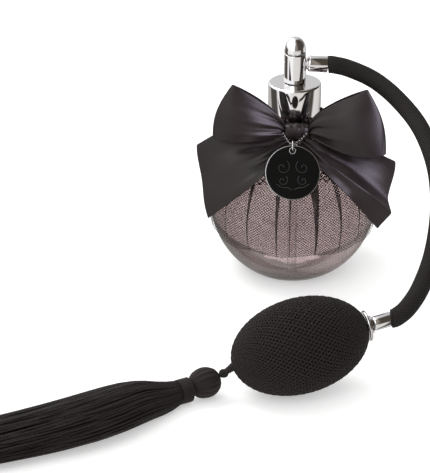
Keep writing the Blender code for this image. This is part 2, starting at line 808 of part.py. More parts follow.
def tag_chain():
    """Short bead chain that hangs in front of the knot and carries the jump ring."""
    low = tag_hinge()
    route = [
        Vector((-5.0 * MM, -18.4 * MM, low.z + 2.6 * MM)),
        Vector((-3.6 * MM, -20.8 * MM, low.z + 0.9 * MM)),
        Vector((TAG_X - 1.0 * MM, low.y, low.z)),
        Vector((TAG_X + 1.0 * MM, low.y, low.z)),
        Vector((1.8 * MM, -21.0 * MM, low.z + 0.7 * MM)),
        Vector((4.4 * MM, -18.4 * MM, low.z + 2.4 * MM)),
    ]
    curve = bpy.data.curves.new("tag_chain", "CURVE")
    curve.dimensions = "3D"
    curve.bevel_depth = CHAIN_WIRE
    curve.bevel_resolution = 2
    curve.use_fill_caps = True
    line = curve.splines.new("POLY")
    path = smooth_path(route, 13)
    line.points.add(len(path) - 1)
    for point, place in zip(line.points, path):
        point.co = (*place, 1.0)
    curve.materials.append(material("steel_chain", (0.6, 0.6, 0.6), 0.25, metallic=1.0))
    obj = bpy.data.objects.new("tag_chain", curve)
    bpy.context.scene.collection.objects.link(obj)
    return obj


def build():
    clear_scene()
    # what stays with the flask
    glass_bottle()
    perfume()
    tulle_skirt()
    gather_thread()
    neck_ribbon()
    bow_knot()
    bow_loop_left()
    bow_loop_right()
    bow_tail_left()
    bow_tail_right()
    tag_chain()
    # what lifts off as the closure
    closure = [neck_gasket(), closure_insert(), collar()]
    hang_on("closure_axis", (0, 0, COLLAR_BOTTOM_Z), closure)
    # what swivels with the head
    head = [stem(), dip_tube(), head_barrel(), dome_cap(), spray_nozzle(), air_spigot()]
    head += [head_ferrule(), hose(), bulb_ferrule(), bulb_cap(), rubber_bulb(), bulb_net()]
    head += [outlet_valve(), inlet_valve()]
    hang_on("head_axis", (0, 0, COLLAR_TOP_Z), head)
    outlet_place, inlet_place = bulb_point(22.4 * MM), bulb_point(-19.7 * MM)
    hang_on("outlet_ball_axis", outlet_place, [ball("outlet_ball", outlet_place)])
    hang_on("inlet_ball_axis", inlet_place, [ball("inlet_ball", inlet_place)])
    tassel = [tassel_cord(), tassel_knot(), tassel_head(), tassel_wrap(), tassel_skirt()]
    hang_on("tassel_axis", TASSEL_PIVOT, tassel)
    hang_on("tag_axis", tag_hinge(), [jump_ring(), tag()])


build()
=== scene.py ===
# %% [markdown]
# # A bulb atomiser, from its frame to its finish
# The frame holds every rigid part at its true size, sorted into the bodies that move. This
# script only dresses it: each step makes one piece of the real object, says which body
# carries it, and prints what it made.

# %% Load the frame
import json
import math
import random

import bpy
import numpy as np
from mathutils import Matrix, Vector


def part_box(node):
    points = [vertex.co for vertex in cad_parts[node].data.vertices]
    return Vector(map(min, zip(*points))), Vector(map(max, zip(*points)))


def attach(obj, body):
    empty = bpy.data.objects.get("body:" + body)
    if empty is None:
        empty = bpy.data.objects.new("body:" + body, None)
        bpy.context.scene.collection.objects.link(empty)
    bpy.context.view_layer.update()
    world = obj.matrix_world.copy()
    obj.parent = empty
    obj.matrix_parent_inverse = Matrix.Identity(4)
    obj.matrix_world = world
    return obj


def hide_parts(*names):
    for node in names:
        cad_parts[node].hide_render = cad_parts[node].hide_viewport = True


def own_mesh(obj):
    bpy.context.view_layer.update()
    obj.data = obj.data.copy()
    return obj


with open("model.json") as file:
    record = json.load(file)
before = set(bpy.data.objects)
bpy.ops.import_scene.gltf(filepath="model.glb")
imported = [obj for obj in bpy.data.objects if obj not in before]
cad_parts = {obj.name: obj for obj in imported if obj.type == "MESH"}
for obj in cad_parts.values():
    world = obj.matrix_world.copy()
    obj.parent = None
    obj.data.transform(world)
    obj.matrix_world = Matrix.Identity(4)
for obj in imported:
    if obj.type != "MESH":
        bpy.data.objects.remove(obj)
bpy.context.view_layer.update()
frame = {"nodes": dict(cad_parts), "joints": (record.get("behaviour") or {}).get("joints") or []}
MM = 0.001
UP = Vector((0, 0, 1))

# %% [markdown]
# ## Landmarks
# A maker measures from the parts already on the bench. Heights come from the boxes of the
# collar and the head, and the bulb's long axis is the direction in which its valve's ball
# moves, so that nothing has to be typed in twice.

# %% Landmarks from the frame
joints = {j["name"]: j for j in frame["joints"]}


def middle(node):
    low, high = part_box(node)
    return (low + high) / 2


FLASK_RADIUS = (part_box("glass_bottle")[1].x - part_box("glass_bottle")[0].x) / 2
NECK_ABOVE_CENTRE = 47 * MM
FLASK_CENTRE = Vector((0, 0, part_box("glass_bottle")[1].z - NECK_ABOVE_CENTRE))
COLLAR_LOW, COLLAR_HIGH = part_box("collar")
HEAD_LOW, HEAD_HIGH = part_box("head_barrel")
BULB_AXIS = Vector(joints["outlet_ball_lift"]["axis"]).normalized()
BULB_CENTRE = middle("bulb_net")
TAG_HINGE = Vector(joints["tag_swing"]["pos_m"])
print(f"flask radius {FLASK_RADIUS * 1000:.1f} mm, bulb centre {BULB_CENTRE[:]}")

# %% [markdown]
# ## Camera
# A small product is shot from some way off with a long lens, so that its proportions stay
# true. The camera stands about 0.9 m away and looks down at 25 degrees. It is aimed a
# little to the left of the flask, where the tassel leaves the picture.

# %% Camera
CAMERA_PITCH = math.radians(25.2)
CAMERA_DISTANCE = 0.9
AIM = Vector((-33 * MM, 0, 12.3 * MM))
LENS, SENSOR_WIDTH = 160.1, 36

camera_data = bpy.data.cameras.new("camera")
camera_data.sensor_width = SENSOR_WIDTH
camera_data.lens = LENS
camera_data.clip_start = 0.01
camera = bpy.data.objects.new("camera", camera_data)
bpy.context.scene.collection.objects.link(camera)
look = Vector((0, math.cos(CAMERA_PITCH), -math.sin(CAMERA_PITCH)))
camera.location = AIM - look * CAMERA_DISTANCE
camera.rotation_euler = (math.pi / 2 - CAMERA_PITCH, 0, 0)
bpy.context.scene.camera = camera
bpy.context.scene.view_settings.view_transform = "Standard"

# %% [markdown]
# ## Mesh helpers
# Nearly every piece here is a grid of points: a turned profile, a ribbon or a tube along a
# path. One function turns such a grid into a smooth mesh. It also lays out a UV map in
# millimetres, so that a weave or a braid has the same scale on every piece.


# %% Grids of points
def add_mesh(name, points, faces, uv=None):
    mesh = bpy.data.meshes.new(name)
    mesh.from_pydata([tuple(p) for p in points], [], faces)
    if uv is not None:
        layer = mesh.uv_layers.new(name="cloth")
        corners = np.zeros(len(mesh.loops), np.int32)
        mesh.loops.foreach_get("vertex_index", corners)
        layer.data.foreach_set("uv", np.asarray(uv, np.float32)[corners].ravel())
    mesh.shade_smooth()
    obj = bpy.data.objects.new(name, mesh)
    bpy.context.scene.collection.objects.link(obj)
    return obj


def grid(name, points, closed_rows=False, closed_columns=False, uv=None, caps=False):
    """A mesh from an array of rows x columns x 3 points; either way can be closed."""
    points = np.asarray(points, float)
    rows, columns = points.shape[:2]
    if uv is None:
        across = np.linalg.norm(np.diff(points, axis=1), axis=2).mean(0)
        down = np.linalg.norm(np.diff(points, axis=0), axis=2).mean(1)
        u, v = np.meshgrid(np.append(0, across.cumsum()), np.append(0, down.cumsum()))
        uv = np.stack([u, v], -1) / MM
    faces = []
    for i in range(rows if closed_rows else rows - 1):
        n = (i + 1) % rows
        for k in range(columns if closed_columns else columns - 1):
            m = (k + 1) % columns
            faces.append((i * columns + k, i * columns + m, n * columns + m, n * columns + k))
    if caps:
        faces.append(tuple(range(columns))[::-1])
        faces.append(tuple(range((rows - 1) * columns, rows * columns)))
    return add_mesh(name, points.reshape(-1, 3), faces, np.reshape(uv, (-1, 2)))


def spoke(a, side, other):
    """The direction at an angle round an axis, from two directions at right angles to it."""
    return math.cos(a) * side + math.sin(a) * other


def frame_along(direction):
    """A unit vector and two more at right angles to it."""
    d = np.array(Vector(direction).normalized())
    side = np.cross((0, 0, 1), d)
    if np.linalg.norm(side) < 1e-6:
        side = np.array((1.0, 0, 0))
    side /= np.linalg.norm(side)
    return d, side, np.cross(d, side)


def turned(name, profile, origin=(0, 0, 0), direction=UP, segments=96, closed=True):
    """A turned piece: (radius, height) pairs spun round an axis."""
    axis, side, other = frame_along(direction)
    if Vector(direction).normalized().dot(UP) > 0.9999:
        side, other = np.array((1.0, 0, 0)), np.array((0, 1.0, 0))
    angle = np.linspace(0, 2 * math.pi, segments, endpoint=False)
    spin = np.cos(angle)[:, None] * side + np.sin(angle)[:, None] * other
    rows = [np.array(origin) + axis * z + spin * max(r, 1e-6) for r, z in profile]
    obj = grid(name, rows, closed_rows=closed, closed_columns=True)
    obj.data.set_sharp_from_angle(angle=math.radians(38))
    return obj


def arc(r, z, radius, start, end, steps=8):
    """Points of a round corner or a ball, angles in degrees."""
    angle = np.radians(np.linspace(start, end, steps + 1))
    return [(r + radius * math.cos(a), z + radius * math.sin(a)) for a in angle]


def smooth_path(points, count):
    """Evenly parted points on a smooth curve through the given ones (Catmull-Rom)."""
    p = [Vector(q) for q in points]
    p = [p[0] * 2 - p[1]] + p + [p[-1] * 2 - p[-2]]
    dense = []
    for a, b, c, d in zip(p, p[1:], p[2:], p[3:]):
        for t in np.arange(0, 1, 1 / 40):
            bend = (2 * a - 5 * b + 4 * c - d) * t**2 + (3 * b - a - 3 * c + d) * t**3
            dense.append(0.5 * (2 * b + (c - a) * t + bend))
    dense = np.array([*dense, p[-2]])
    length = np.append(0, np.linalg.norm(np.diff(dense, axis=0), axis=1).cumsum())
    even = np.linspace(0, length[-1], count)
    return np.stack([np.interp(even, length, dense[:, k]) for k in range(3)], -1)


def tube_rows(path, radius, around=8):
    """Rings of points round a path; radius is one number or one for each point."""
    path = np.asarray(path, float)
    radius = np.broadcast_to(radius, len(path))
    along = np.gradient(path, axis=0)
    along /= np.linalg.norm(along, axis=1)[:, None]
    side = frame_along(along[0])[1]
    rows = []
    for p, d, r in zip(path, along, radius):
        side = side - d * side.dot(d)
        side /= np.linalg.norm(side)
        other = np.cross(d, side)
        angle = np.linspace(0, 2 * math.pi, around, endpoint=False)
        rows.append(p + r * (np.cos(angle)[:, None] * side + np.sin(angle)[:, None] * other))
    return np.array(rows)


def many_tubes(name, paths, radius, around=5):
    """Many thin strands as one mesh, each a closed tube."""
    points, faces, uv = [], [], []
    for path in paths:
        path = [tuple(p) for p in path]
        rows = tube_rows(path, radius, around)
        first, count = len(points), len(rows)
        points.extend(rows.reshape(-1, 3))
        steps = np.linalg.norm(np.diff(path, axis=0), axis=1).cumsum() / MM
        for v in np.append(0, steps):
            uv.extend((k / around * 4, v) for k in range(around))
        for i in range(count - 1):
            for k in range(around):
                m = (k + 1) % around
                a, b = first + i * around, first + (i + 1) * around
                faces.append((a + k, a + m, b + m, b + k))
        faces.append(tuple(range(first, first + around))[::-1])
        last = first + (count - 1) * around
        faces.append(tuple(range(last, last + around)))
    return add_mesh(name, points, faces, uv)


def dress(obj, finish, slot, body, *nodes):
    """Give a piece its material, its body and the nodes it stands for; the slot is not used."""
    obj.data.materials.clear()
    obj.data.materials.append(finish)
    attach(obj, body)
    if nodes:
        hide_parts(*nodes)
    print(f"{obj.name}: {len(obj.data.vertices)} points, rides on {body}")
    return obj


# %% [markdown]
# ## Shared effects
# Real surfaces are never quite even. Three effects are used again and again, so each is a
# node group with its own inputs: a slow unevenness with fine grain for metal, glass and
# plastic, the slanted fibres of twisted thread, and a woven or knotted lattice.


# %% A small kit for shader nodes
def new_group(name, inputs, outputs):
    group = bpy.data.node_groups.new(name, "ShaderNodeTree")
    for label, kind, value in inputs:
        socket = group.interface.new_socket(name=label, in_out="INPUT", socket_type=kind)
        if value is not None:
            socket.default_value = value
    for label, kind in outputs:
        group.interface.new_socket(name=label, in_out="OUTPUT", socket_type=kind)
    return group, group.nodes.new("NodeGroupInput"), group.nodes.new("NodeGroupOutput")


def feed(tree, shader, inputs):
    """Link or set the inputs of a node, each by its name or number."""
    for socket, value in dict(inputs).items():
        if hasattr(value, "is_output"):
            tree.links.new(value, shader.inputs[socket])
        else:
            shader.inputs[socket].default_value = value


def node(tree, kind, inputs=(), **settings):
    made = tree.nodes.new(kind)
    for key, value in settings.items():
        setattr(made, key, value)
    feed(tree, made, inputs)
    return made


def maths(tree, operation, a, b=0.0, c=0.0):
    return node(tree, "ShaderNodeMath", {0: a, 1: b, 2: c}, operation=operation).outputs[0]


def blend_colour(tree, factor, a, b):
    return node(tree, "ShaderNodeMix", {0: factor, 6: a, 7: b}, data_type="RGBA").outputs[2]


def raised(tree, height, strength, distance, **more):
    """The normal of a surface that is raised by a height value."""
    inputs = {"Height": height, "Strength": strength, "Distance": distance, **more}
    return node(tree, "ShaderNodeBump", inputs).outputs[0]


FLOAT, VECTOR = "NodeSocketFloat", "NodeSocketVector"


# %% Effect: uneven surface
def uneven_group():
    tree, source, sink = new_group(
        "uneven surface",
        [("Roughness", FLOAT, 0.2), ("Spread", FLOAT, 0.05), ("Grain", FLOAT, 0.02)],
        [("Roughness", FLOAT), ("Mask", FLOAT), ("Normal", VECTOR)],
    )
    place = node(tree, "ShaderNodeTexCoord").outputs["Object"]
    cloud = node(tree, "ShaderNodeTexNoise", {"Vector": place, "Scale": 90.0, "Detail": 3.0})
    fine = node(tree, "ShaderNodeTexNoise", {"Vector": place, "Scale": 2500.0, "Detail": 2.0})
    shift = maths(tree, "MULTIPLY_ADD", cloud.outputs[0], source.outputs["Spread"], 0.0)
    rough = maths(tree, "ADD", shift, source.outputs["Roughness"])
    normal = raised(tree, fine.outputs[0], source.outputs["Grain"], 0.2 * MM)
    feed(tree, sink, {"Roughness": rough, "Mask": cloud.outputs[0], "Normal": normal})
    return tree


# %% Effect: twisted thread
def thread_group():
    """Slanted fibres on a yarn; the UV map runs round the yarn, then along it."""
    tree, source, sink = new_group(
        "twisted thread",
        [("Twists", FLOAT, 1.6), ("Slant", FLOAT, 0.25), ("Depth", FLOAT, 0.6)],
        [("Mask", FLOAT), ("Normal", VECTOR)],
    )
    uv = node(tree, "ShaderNodeUVMap", uv_map="cloth").outputs[0]
    split = node(tree, "ShaderNodeSeparateXYZ", {0: uv})
    lean = maths(tree, "MULTIPLY_ADD", split.outputs[0], source.outputs["Slant"], 0.0)
    phase = maths(tree, "MULTIPLY_ADD", split.outputs[1], source.outputs["Twists"], lean)
    wave = maths(tree, "SINE", maths(tree, "MULTIPLY", phase, 2 * math.pi))
    ridge = maths(tree, "MULTIPLY_ADD", wave, 0.5, 0.5)
    place = node(tree, "ShaderNodeTexCoord").outputs["Object"]
    fuzz = node(tree, "ShaderNodeTexNoise", {"Vector": place, "Scale": 1800.0, "Detail": 3.0})
    mixed = maths(tree, "MULTIPLY_ADD", fuzz.outputs[0], 0.5, maths(tree, "MULTIPLY", ridge, 0.7))
    normal = raised(tree, mixed, source.outputs["Depth"], 0.3 * MM)
    feed(tree, sink, {"Mask": mixed, "Normal": normal})
    return tree


# %% Effect: lattice of crossing threads
def lattice_group():
    """Two sets of slanted lines on the UV map, which runs in millimetres."""
    tree, source, sink = new_group(
        "crossing threads",
        [("Pitch", FLOAT, 0.8), ("Thread", FLOAT, 0.3), ("Stretch", FLOAT, 0.6)],
        [("Lines", FLOAT), ("Height", FLOAT)],
    )
    uv = node(tree, "ShaderNodeUVMap", uv_map="cloth").outputs[0]
    split = node(tree, "ShaderNodeSeparateXYZ", {0: uv})
    rise = maths(tree, "MULTIPLY", split.outputs[1], source.outputs["Stretch"])
    heights = []
    for sign in (1.0, -1.0):
        line = maths(tree, "MULTIPLY_ADD", rise, sign, split.outputs[0])
        turn = maths(tree, "DIVIDE", line, source.outputs["Pitch"])
        saw = maths(tree, "ABSOLUTE", maths(tree, "SUBTRACT", maths(tree, "FRACT", turn), 0.5))
        heights.append(maths(tree, "MULTIPLY", saw, 2.0))
    nearest = maths(tree, "MINIMUM", *heights)
    lines = maths(tree, "LESS_THAN", nearest, source.outputs["Thread"])
    feed(tree, sink, {"Lines": lines, "Height": maths(tree, "SUBTRACT", 1.0, nearest)})
    return tree


UNEVEN, THREAD, LATTICE = uneven_group(), thread_group(), lattice_group()


def place_group(tree, group, **values):
    return node(tree, "ShaderNodeGroup", values, node_tree=group)


def new_material(name):
    """A material with its node tree and its Principled shader."""
    made = bpy.data.materials.new(name)
    made.use_nodes = True
    return made, made.node_tree, made.node_tree.nodes["Principled BSDF"]


# %% [markdown]
# ## Finishes
# Each finish is a Principled surface. Chrome is a clean mirror with faint wiping marks,
# moulded plastic has a dull grain, and thread is matt with a painted highlight on each twist
# and painted shade between the twists.


# %% Finishes for metal, plastic and glass
def surface(name, colour, rough, spread=0.05, grain=0.02, vary=0.15, **sockets):
    """A hard surface: an even colour with slow variation, and roughness with grain."""
    made, tree, shader = new_material(name)
    effect = place_group(tree, UNEVEN, Roughness=rough, Spread=spread, Grain=grain)
    dark = (*[c * (1 - vary) for c in colour], 1)
    tint = blend_colour(tree, effect.outputs["Mask"], dark, (*colour, 1))
    feed(tree, shader, {"Base Color": tint, "Roughness": effect.outputs["Roughness"]})
    if grain:
        feed(tree, shader, {"Normal": effect.outputs["Normal"]})
    feed(tree, shader, {key.replace("_", " "): value for key, value in sockets.items()})
    return made


CHROME = surface("bright chrome", (0.86, 0.85, 0.86), 0.02, 0.05, 0.0, 0.05, Metallic=1.0)
STEEL = surface("bead chain steel", (0.42, 0.42, 0.43), 0.15, 0.1, 0.02, 0.2, Metallic=1.0)
BRASS = surface("valve brass", (0.72, 0.55, 0.28), 0.25, 0.1, 0.05, 0.25, Metallic=1.0)
BLACK_PLASTIC = surface("moulded black plastic", (0.03, 0.03, 0.03), 0.4, 0.15, 0.1)
WHITE_PLASTIC = surface("moulded white plastic", (0.82, 0.82, 0.8), 0.35, 0.1, 0.08, 0.06)
RUBBER = surface("black rubber", (0.006, 0.006, 0.006), 0.55, 0.2, 0.25, 0.3)
GASKET = surface("pale gasket rubber", (0.7, 0.69, 0.64), 0.5, 0.1, 0.15, 0.1)
ENAMEL = surface(
    "black enamel", (0.004, 0.004, 0.004), 0.16, 0.08, 0.0, 0.3, Specular_IOR_Level=0.12
)
ETCHED = surface("etched scrolls", (0.045, 0.045, 0.045), 0.45, 0.1, 0.1, 0.2)
CLEAR_TUBE = surface(
    "clear tube", (0.97, 0.96, 0.96), 0.0, 0.03, 0.0, 0.02, Transmission_Weight=1.0, IOR=1.38
)
GLASS = surface(
    "clear flask glass", (0.93, 0.955, 0.95), 0.0, 0.02, 0.0, 0.02,
    Transmission_Weight=1.0, IOR=1.5,
)
glass_tree = GLASS.node_tree
glass_shader = glass_tree.nodes["Principled BSDF"]
glass_tint = glass_shader.inputs["Base Color"].links[0].from_socket
# Painted dark rim: the glass colour darkens towards the silhouette by the Layer Weight facing
# value, standing in for the dark surroundings seen through the edge.
facing = node(glass_tree, "ShaderNodeLayerWeight", {"Blend": 0.5}).outputs["Facing"]
painted_rim_shade = maths(glass_tree, "POWER", facing, 2.5)
tint_with_painted_dark_rim = blend_colour(glass_tree, painted_rim_shade, glass_tint, (0.02, 0.025, 0.03, 1))
feed(glass_tree, glass_shader, {"Base Color": tint_with_painted_dark_rim})
PERFUME = surface(
    "rose perfume", (0.42, 0.3, 0.3), 0.0, 0.01, 0.0, 0.03, Transmission_Weight=1.0, IOR=1.36
)


# %% Finishes for thread, satin and net
def thread_finish(name, colour, twists, slant, depth, rough=0.7):
    """Matt twisted yarn: a painted highlight on the top of each twist and painted shade between
    them.
    """
    made, tree, shader = new_material(name)
    effect = place_group(tree, THREAD, Twists=twists, Slant=slant, Depth=depth)
    # Painted highlight (twice the colour) on the twist tops and painted shade (0.3 of it) in the
    # grooves, blended by the twist mask.
    light = (*[min(1, c * 2.0) for c in colour], 1)
    dark = (*[c * 0.3 for c in colour], 1)
    tint = blend_colour(tree, effect.outputs["Mask"], dark, light)
    feed(tree, shader, {"Base Color": tint, "Normal": effect.outputs["Normal"]})
    feed(tree, shader, {"Roughness": rough, "Specular IOR Level": 0.25})
    feed(tree, shader, {"Sheen Weight": 0.02, "Sheen Roughness": 0.4})
    return made


def satin_finish():
    """Black satin: a fine rib across the ribbon, and a soft lavender bloom."""
    made, tree, shader = new_material("black satin")
    weave = place_group(tree, LATTICE, Pitch=0.22, Thread=0.4, Stretch=0.25)
    wear = place_group(tree, UNEVEN, Roughness=0.26, Spread=0.12, Grain=0.02)
    dark, light = (0.009, 0.0062, 0.006, 1), (0.016, 0.0115, 0.0112, 1)
    feed(tree, shader, {
        "Base Color": blend_colour(tree, wear.outputs["Mask"], dark, light),
        "Roughness": wear.outputs["Roughness"],
        "Normal": raised(tree, weave.outputs["Height"], 0.12, 0.1 * MM),
        "Anisotropic": 0.4,
        "Specular IOR Level": 0.28,
        "Sheen Weight": 0.04,
        "Sheen Roughness": 0.3,
        "Sheen Tint": (0.72, 0.66, 0.8, 1),
    })
    return made


def tulle_finish():
    """Fine black net: the holes between the threads are clear."""
    made, tree, shader = new_material("black tulle")
    net = place_group(tree, LATTICE, Pitch=1.45, Thread=0.27, Stretch=1.25)
    dark, light = (0.01, 0.006, 0.006, 1), (0.025, 0.016, 0.016, 1)
    # Painted highlight: each net thread is lighter along its middle than at its edges, from the
    # lattice height.
    tint = blend_colour(tree, net.outputs["Height"], dark, light)
    feed(tree, shader, {"Base Color": tint, "Alpha": net.outputs["Lines"]})
    feed(tree, shader, {"Roughness": 0.6, "Specular IOR Level": 0.3})
    return made


THREAD_BLACK = thread_finish("black rayon thread", (0.0125, 0.0086, 0.0086), 1.5, 0.25, 0.8, 0.55)
NET_THREAD = thread_finish("black crochet thread", (0.012, 0.0084, 0.0082), 0.9, 0.5, 0.9)
SATIN, TULLE = satin_finish(), tulle_finish()

# %% [markdown]
# ## Hose
# The air hose is a rubber tube in a braided cotton sleeve. It leaves the head level, arches
# over and comes down to the bulb in one easy curve, because the rubber inside is stiff. It
# is a tube along the same route as in the frame, and the braid is two sets of slanted
# threads in its surface.

# %% Hose
HOSE_RADIUS = 3.6 * MM
HOSE_ROUTE = [
    (0.0225, -0.0004, 0.0889),
    (0.0328, -0.0043, 0.0852),
    (0.0424, -0.0140, 0.0798),
    (0.0503, -0.0280, 0.0730),
    (0.0549, -0.0450, 0.0634),
    (0.0550, -0.0620, 0.0524),
    (0.0516, -0.0780, 0.0415),
    (0.0460, -0.0910, 0.0333),
    (0.0406, -0.0989, 0.0288),
]
INLET_AXIS = Vector((math.cos(math.radians(3)), 0, -math.sin(math.radians(3))))
INLET_START = Vector((0, 0, 91.35 * MM))
hose_start = INLET_START + INLET_AXIS * 13.7 * MM
hose_end = BULB_CENTRE + BULB_AXIS * 36.8 * MM
hose_line = smooth_path(
    [
        hose_start,
        hose_start + INLET_AXIS * 2 * MM,
        *HOSE_ROUTE,
        hose_end + BULB_AXIS * 2 * MM,
        hose_end,
    ],
    150,
)


def braid_finish():
    """Two sets of slanted cotton threads, with painted shade in the gaps between them."""
    made, tree, shader = new_material("braided cotton")
    braid = place_group(tree, LATTICE, Pitch=1.3, Thread=0.3, Stretch=0.9)
    wear = place_group(tree, UNEVEN, Roughness=0.7, Spread=0.2, Grain=0.3)
    light, dark = (0.026, 0.021, 0.019, 1), (0.004, 0.003, 0.003, 1)
    depth = maths(tree, "SUBTRACT", 1.0, braid.outputs["Height"])
    feed(tree, shader, {
        # Painted shade: the colour is dark along the lattice lines, which are the sunken gaps
        # between the threads.
        "Base Color": blend_colour(tree, braid.outputs["Height"], light, dark),
        "Roughness": wear.outputs["Roughness"],
        "Normal": raised(tree, depth, 0.6, 0.3 * MM, Normal=wear.outputs["Normal"]),
        "Specular IOR Level": 0.25,
    })
    return made


rings = tube_rows(hose_line, HOSE_RADIUS, 36)
hose = grid("hose_braid", rings, closed_columns=True, caps=True)
dress(hose, braid_finish(), "black_braid", "head", "hose")

# %% [markdown]
# ## Flask
# The flask is blown glass with a thick foot. A turned outline gives both walls: up the
# outside of the ball and the neck, then back down the inside to the floor. The perfume is
# a second turned piece that just enters the glass, so that no film of air shows between
# them.

# %% Flask and perfume
WALL, FOOT = 3 * MM, 5 * MM
BALL_Z = FLASK_CENTRE.z


def ball_angle(radius, z):
    return math.degrees(math.asin((z - BALL_Z) / radius))


def rim_angle(radius, r):
    return math.degrees(math.acos(r / radius))


neck, bore, neck_top = 8 * MM, 5.5 * MM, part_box("glass_bottle")[1].z
inside = FLASK_RADIUS - WALL
base_edge = ball_angle(FLASK_RADIUS, 0)
outline = [(0, 0.6 * MM), (13 * MM, 0.6 * MM), (15.5 * MM, 0)]
outline += arc(0, BALL_Z, FLASK_RADIUS, base_edge, rim_angle(FLASK_RADIUS, neck), 60)
outline += [(neck, 66 * MM)] + arc(neck - 0.6 * MM, neck_top - 0.6 * MM, 0.6 * MM, 0, 90, 4)
outline += [(bore, neck_top)]
outline += arc(0, BALL_Z, inside, rim_angle(inside, bore), ball_angle(inside, FOOT + 1.5 * MM), 60)
outline += [(17 * MM, FOOT), (9 * MM, FOOT + 0.3 * MM), (0, FOOT + 0.5 * MM)]
flask = turned("flask_glass", outline, segments=128)
dress(flask, GLASS, "clear_glass", "bottle", "glass_bottle")

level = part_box("perfume")[1].z
wet = inside + 0.08 * MM
fill = [(0, FOOT + 0.4 * MM), (9 * MM, FOOT + 0.2 * MM), (17 * MM, FOOT - 0.1 * MM)]
fill += arc(0, BALL_Z, wet, ball_angle(wet, FOOT + 1.4 * MM), ball_angle(wet, level), 60)
fill += [(12 * MM, level - 0.2 * MM), (0, level - 0.2 * MM)]
perfume = turned("perfume_fill", fill, segments=128)
dress(perfume, PERFUME, "rose_perfume", "bottle", "perfume")

# %% [markdown]
# ## Closure and head
# Collar, barrel and bullet end are spun brass with bright chrome over it. Their edges are
# rolled, never sharp, and that is where the light catches. Each is a turned outline with
# round corners, set at the height of its part in the frame.

# %% Chrome collar, barrel and bullet end
top, radius = COLLAR_HIGH.z, COLLAR_HIGH.x
shell = [(radius - 0.8 * MM, COLLAR_LOW.z), (radius - 0.1 * MM, COLLAR_LOW.z)]
shell += [(radius, COLLAR_LOW.z + 0.15 * MM), (radius, top - 1.4 * MM)]
shell += arc(radius - 0.9 * MM, top - 0.9 * MM, 0.9 * MM, 0, 90, 8)
shell += [(3.3 * MM, top), (3.3 * MM, top - 0.8 * MM), (radius - 0.8 * MM, top - 0.8 * MM)]
dress(turned("collar_shell", shell, segments=128), CHROME, "chrome", "closure", "collar")

r, low, high = HEAD_HIGH.y, HEAD_LOW.z, HEAD_HIGH.z
barrel = [(3.3 * MM, low), (r - 0.2 * MM, low), (r, low + 0.2 * MM)]
barrel += arc(r - 0.25 * MM, high - 0.25 * MM, 0.25 * MM, 0, 90, 4) + [(3.3 * MM, high)]
dress(turned("barrel_shell", barrel), CHROME, "chrome", "head", "head_barrel")

dome_low, dome_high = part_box("dome_cap")
height = dome_high.z - dome_low.z
dome = [(0, dome_low.z), (r - 0.2 * MM, dome_low.z)]
for step in np.linspace(0.03, 1, 24):
    a = step * math.pi / 2
    dome.append((r * math.cos(a) ** 0.82, dome_low.z + height * math.sin(a)))
dress(turned("bullet_end", dome), CHROME, "chrome", "head", "dome_cap")

# %% [markdown]
# ## Air inlet
# A flanged spigot stands out of the barrel, and a plain chrome ferrule grips the hose on
# it. The ferrule's mouth is rounded, and its far edge bites into the braid.


# %% Spigot, ferrules and the bulb's cap
def sleeve(name, radius, start, end, origin, direction, node_name):
    mouth = 0.9 * MM
    outline = [(2 * MM, start), (radius - mouth, start)]
    outline += arc(radius - mouth, start + mouth, mouth, -80, 0, 7)
    outline += [(radius, end - 0.2 * MM), (radius - 0.15 * MM, end), (2 * MM, end)]
    piece = turned(name, outline, origin, direction, 64)
    return dress(piece, CHROME, "chrome", "head", node_name)


sleeve("inlet_sleeve", 3.4 * MM, 5.2 * MM, 13.4 * MM, INLET_START, INLET_AXIS, "head_ferrule")
flange = [(0.9 * MM, 3.6 * MM), (1.6 * MM, 3.6 * MM), (1.6 * MM, 4.7 * MM)]
flange += arc(2.3 * MM, 5.0 * MM, 0.25 * MM, -90, 90, 8)
flange += [(1.6 * MM, 5.25 * MM), (1.6 * MM, 12.4 * MM), (0.9 * MM, 12.4 * MM)]
spigot = turned("inlet_spigot", flange, INLET_START, INLET_AXIS, 48)
dress(spigot, CHROME, "chrome", "head", "air_spigot")

sleeve("bulb_sleeve", 2.8 * MM, 29.2 * MM, 36.5 * MM, BULB_CENTRE, BULB_AXIS, "bulb_ferrule")
cap = [(0.9 * MM, 26.9 * MM), (4.2 * MM, 26.9 * MM), (5.6 * MM, 26.2 * MM)]
cap += arc(5.4 * MM, 26.9 * MM, 0.62 * MM, -60, 70, 8)
cap += [(4.4 * MM, 27.8 * MM), (3.5 * MM, 28.2 * MM), (3.3 * MM, 28.9 * MM), (0.9 * MM, 28.9 * MM)]
cap_piece = turned("bulb_end_cap", cap, BULB_CENTRE, BULB_AXIS, 64)
dress(cap_piece, CHROME, "chrome", "head", "bulb_cap")

# %% [markdown]
# ## Tulle skirt
# A straight strip of net is gathered at the neck and let down over the flask. The strip is
# a third wider than the flask's waist, and the spare width towards the neck goes into knife
# pleats: the cloth runs past the pleat, turns back, folds over once more and runs on. Five
# layers of net lie in each pleat, which is why the pleats look dark.

# %% Tulle skirt
TULLE_RADIUS = FLASK_RADIUS + 0.45 * MM
FULLNESS = 1.35
CLOTH_WIDTH = 2 * math.pi * TULLE_RADIUS * FULLNESS
# each pleat's angle from the front, in degrees, and its share of the spare width
PLEATS = [
    (-54, 1.0), (-34, 1.3), (-13, 1.6), (-4, 0.8), (14, 2.8), (32, 1.7), (49, 1.1),
    (68, 1.0), (90, 1.1), (112, 0.9), (136, 1.1), (158, 1.0), (180, 0.9), (203, 1.1),
    (226, 1.0), (248, 0.9), (270, 1.1), (289, 1.0),
]
PANEL_STEPS, FOLD_STEPS, EXTRA_LAYERS = 14, 3, 4
NECK_SHARE, NECK_RISE = 0.05, 3.2 * MM
NECK_POLAR, HEM_POLAR = math.asin(9.0 / 35.4), math.radians(108.5)


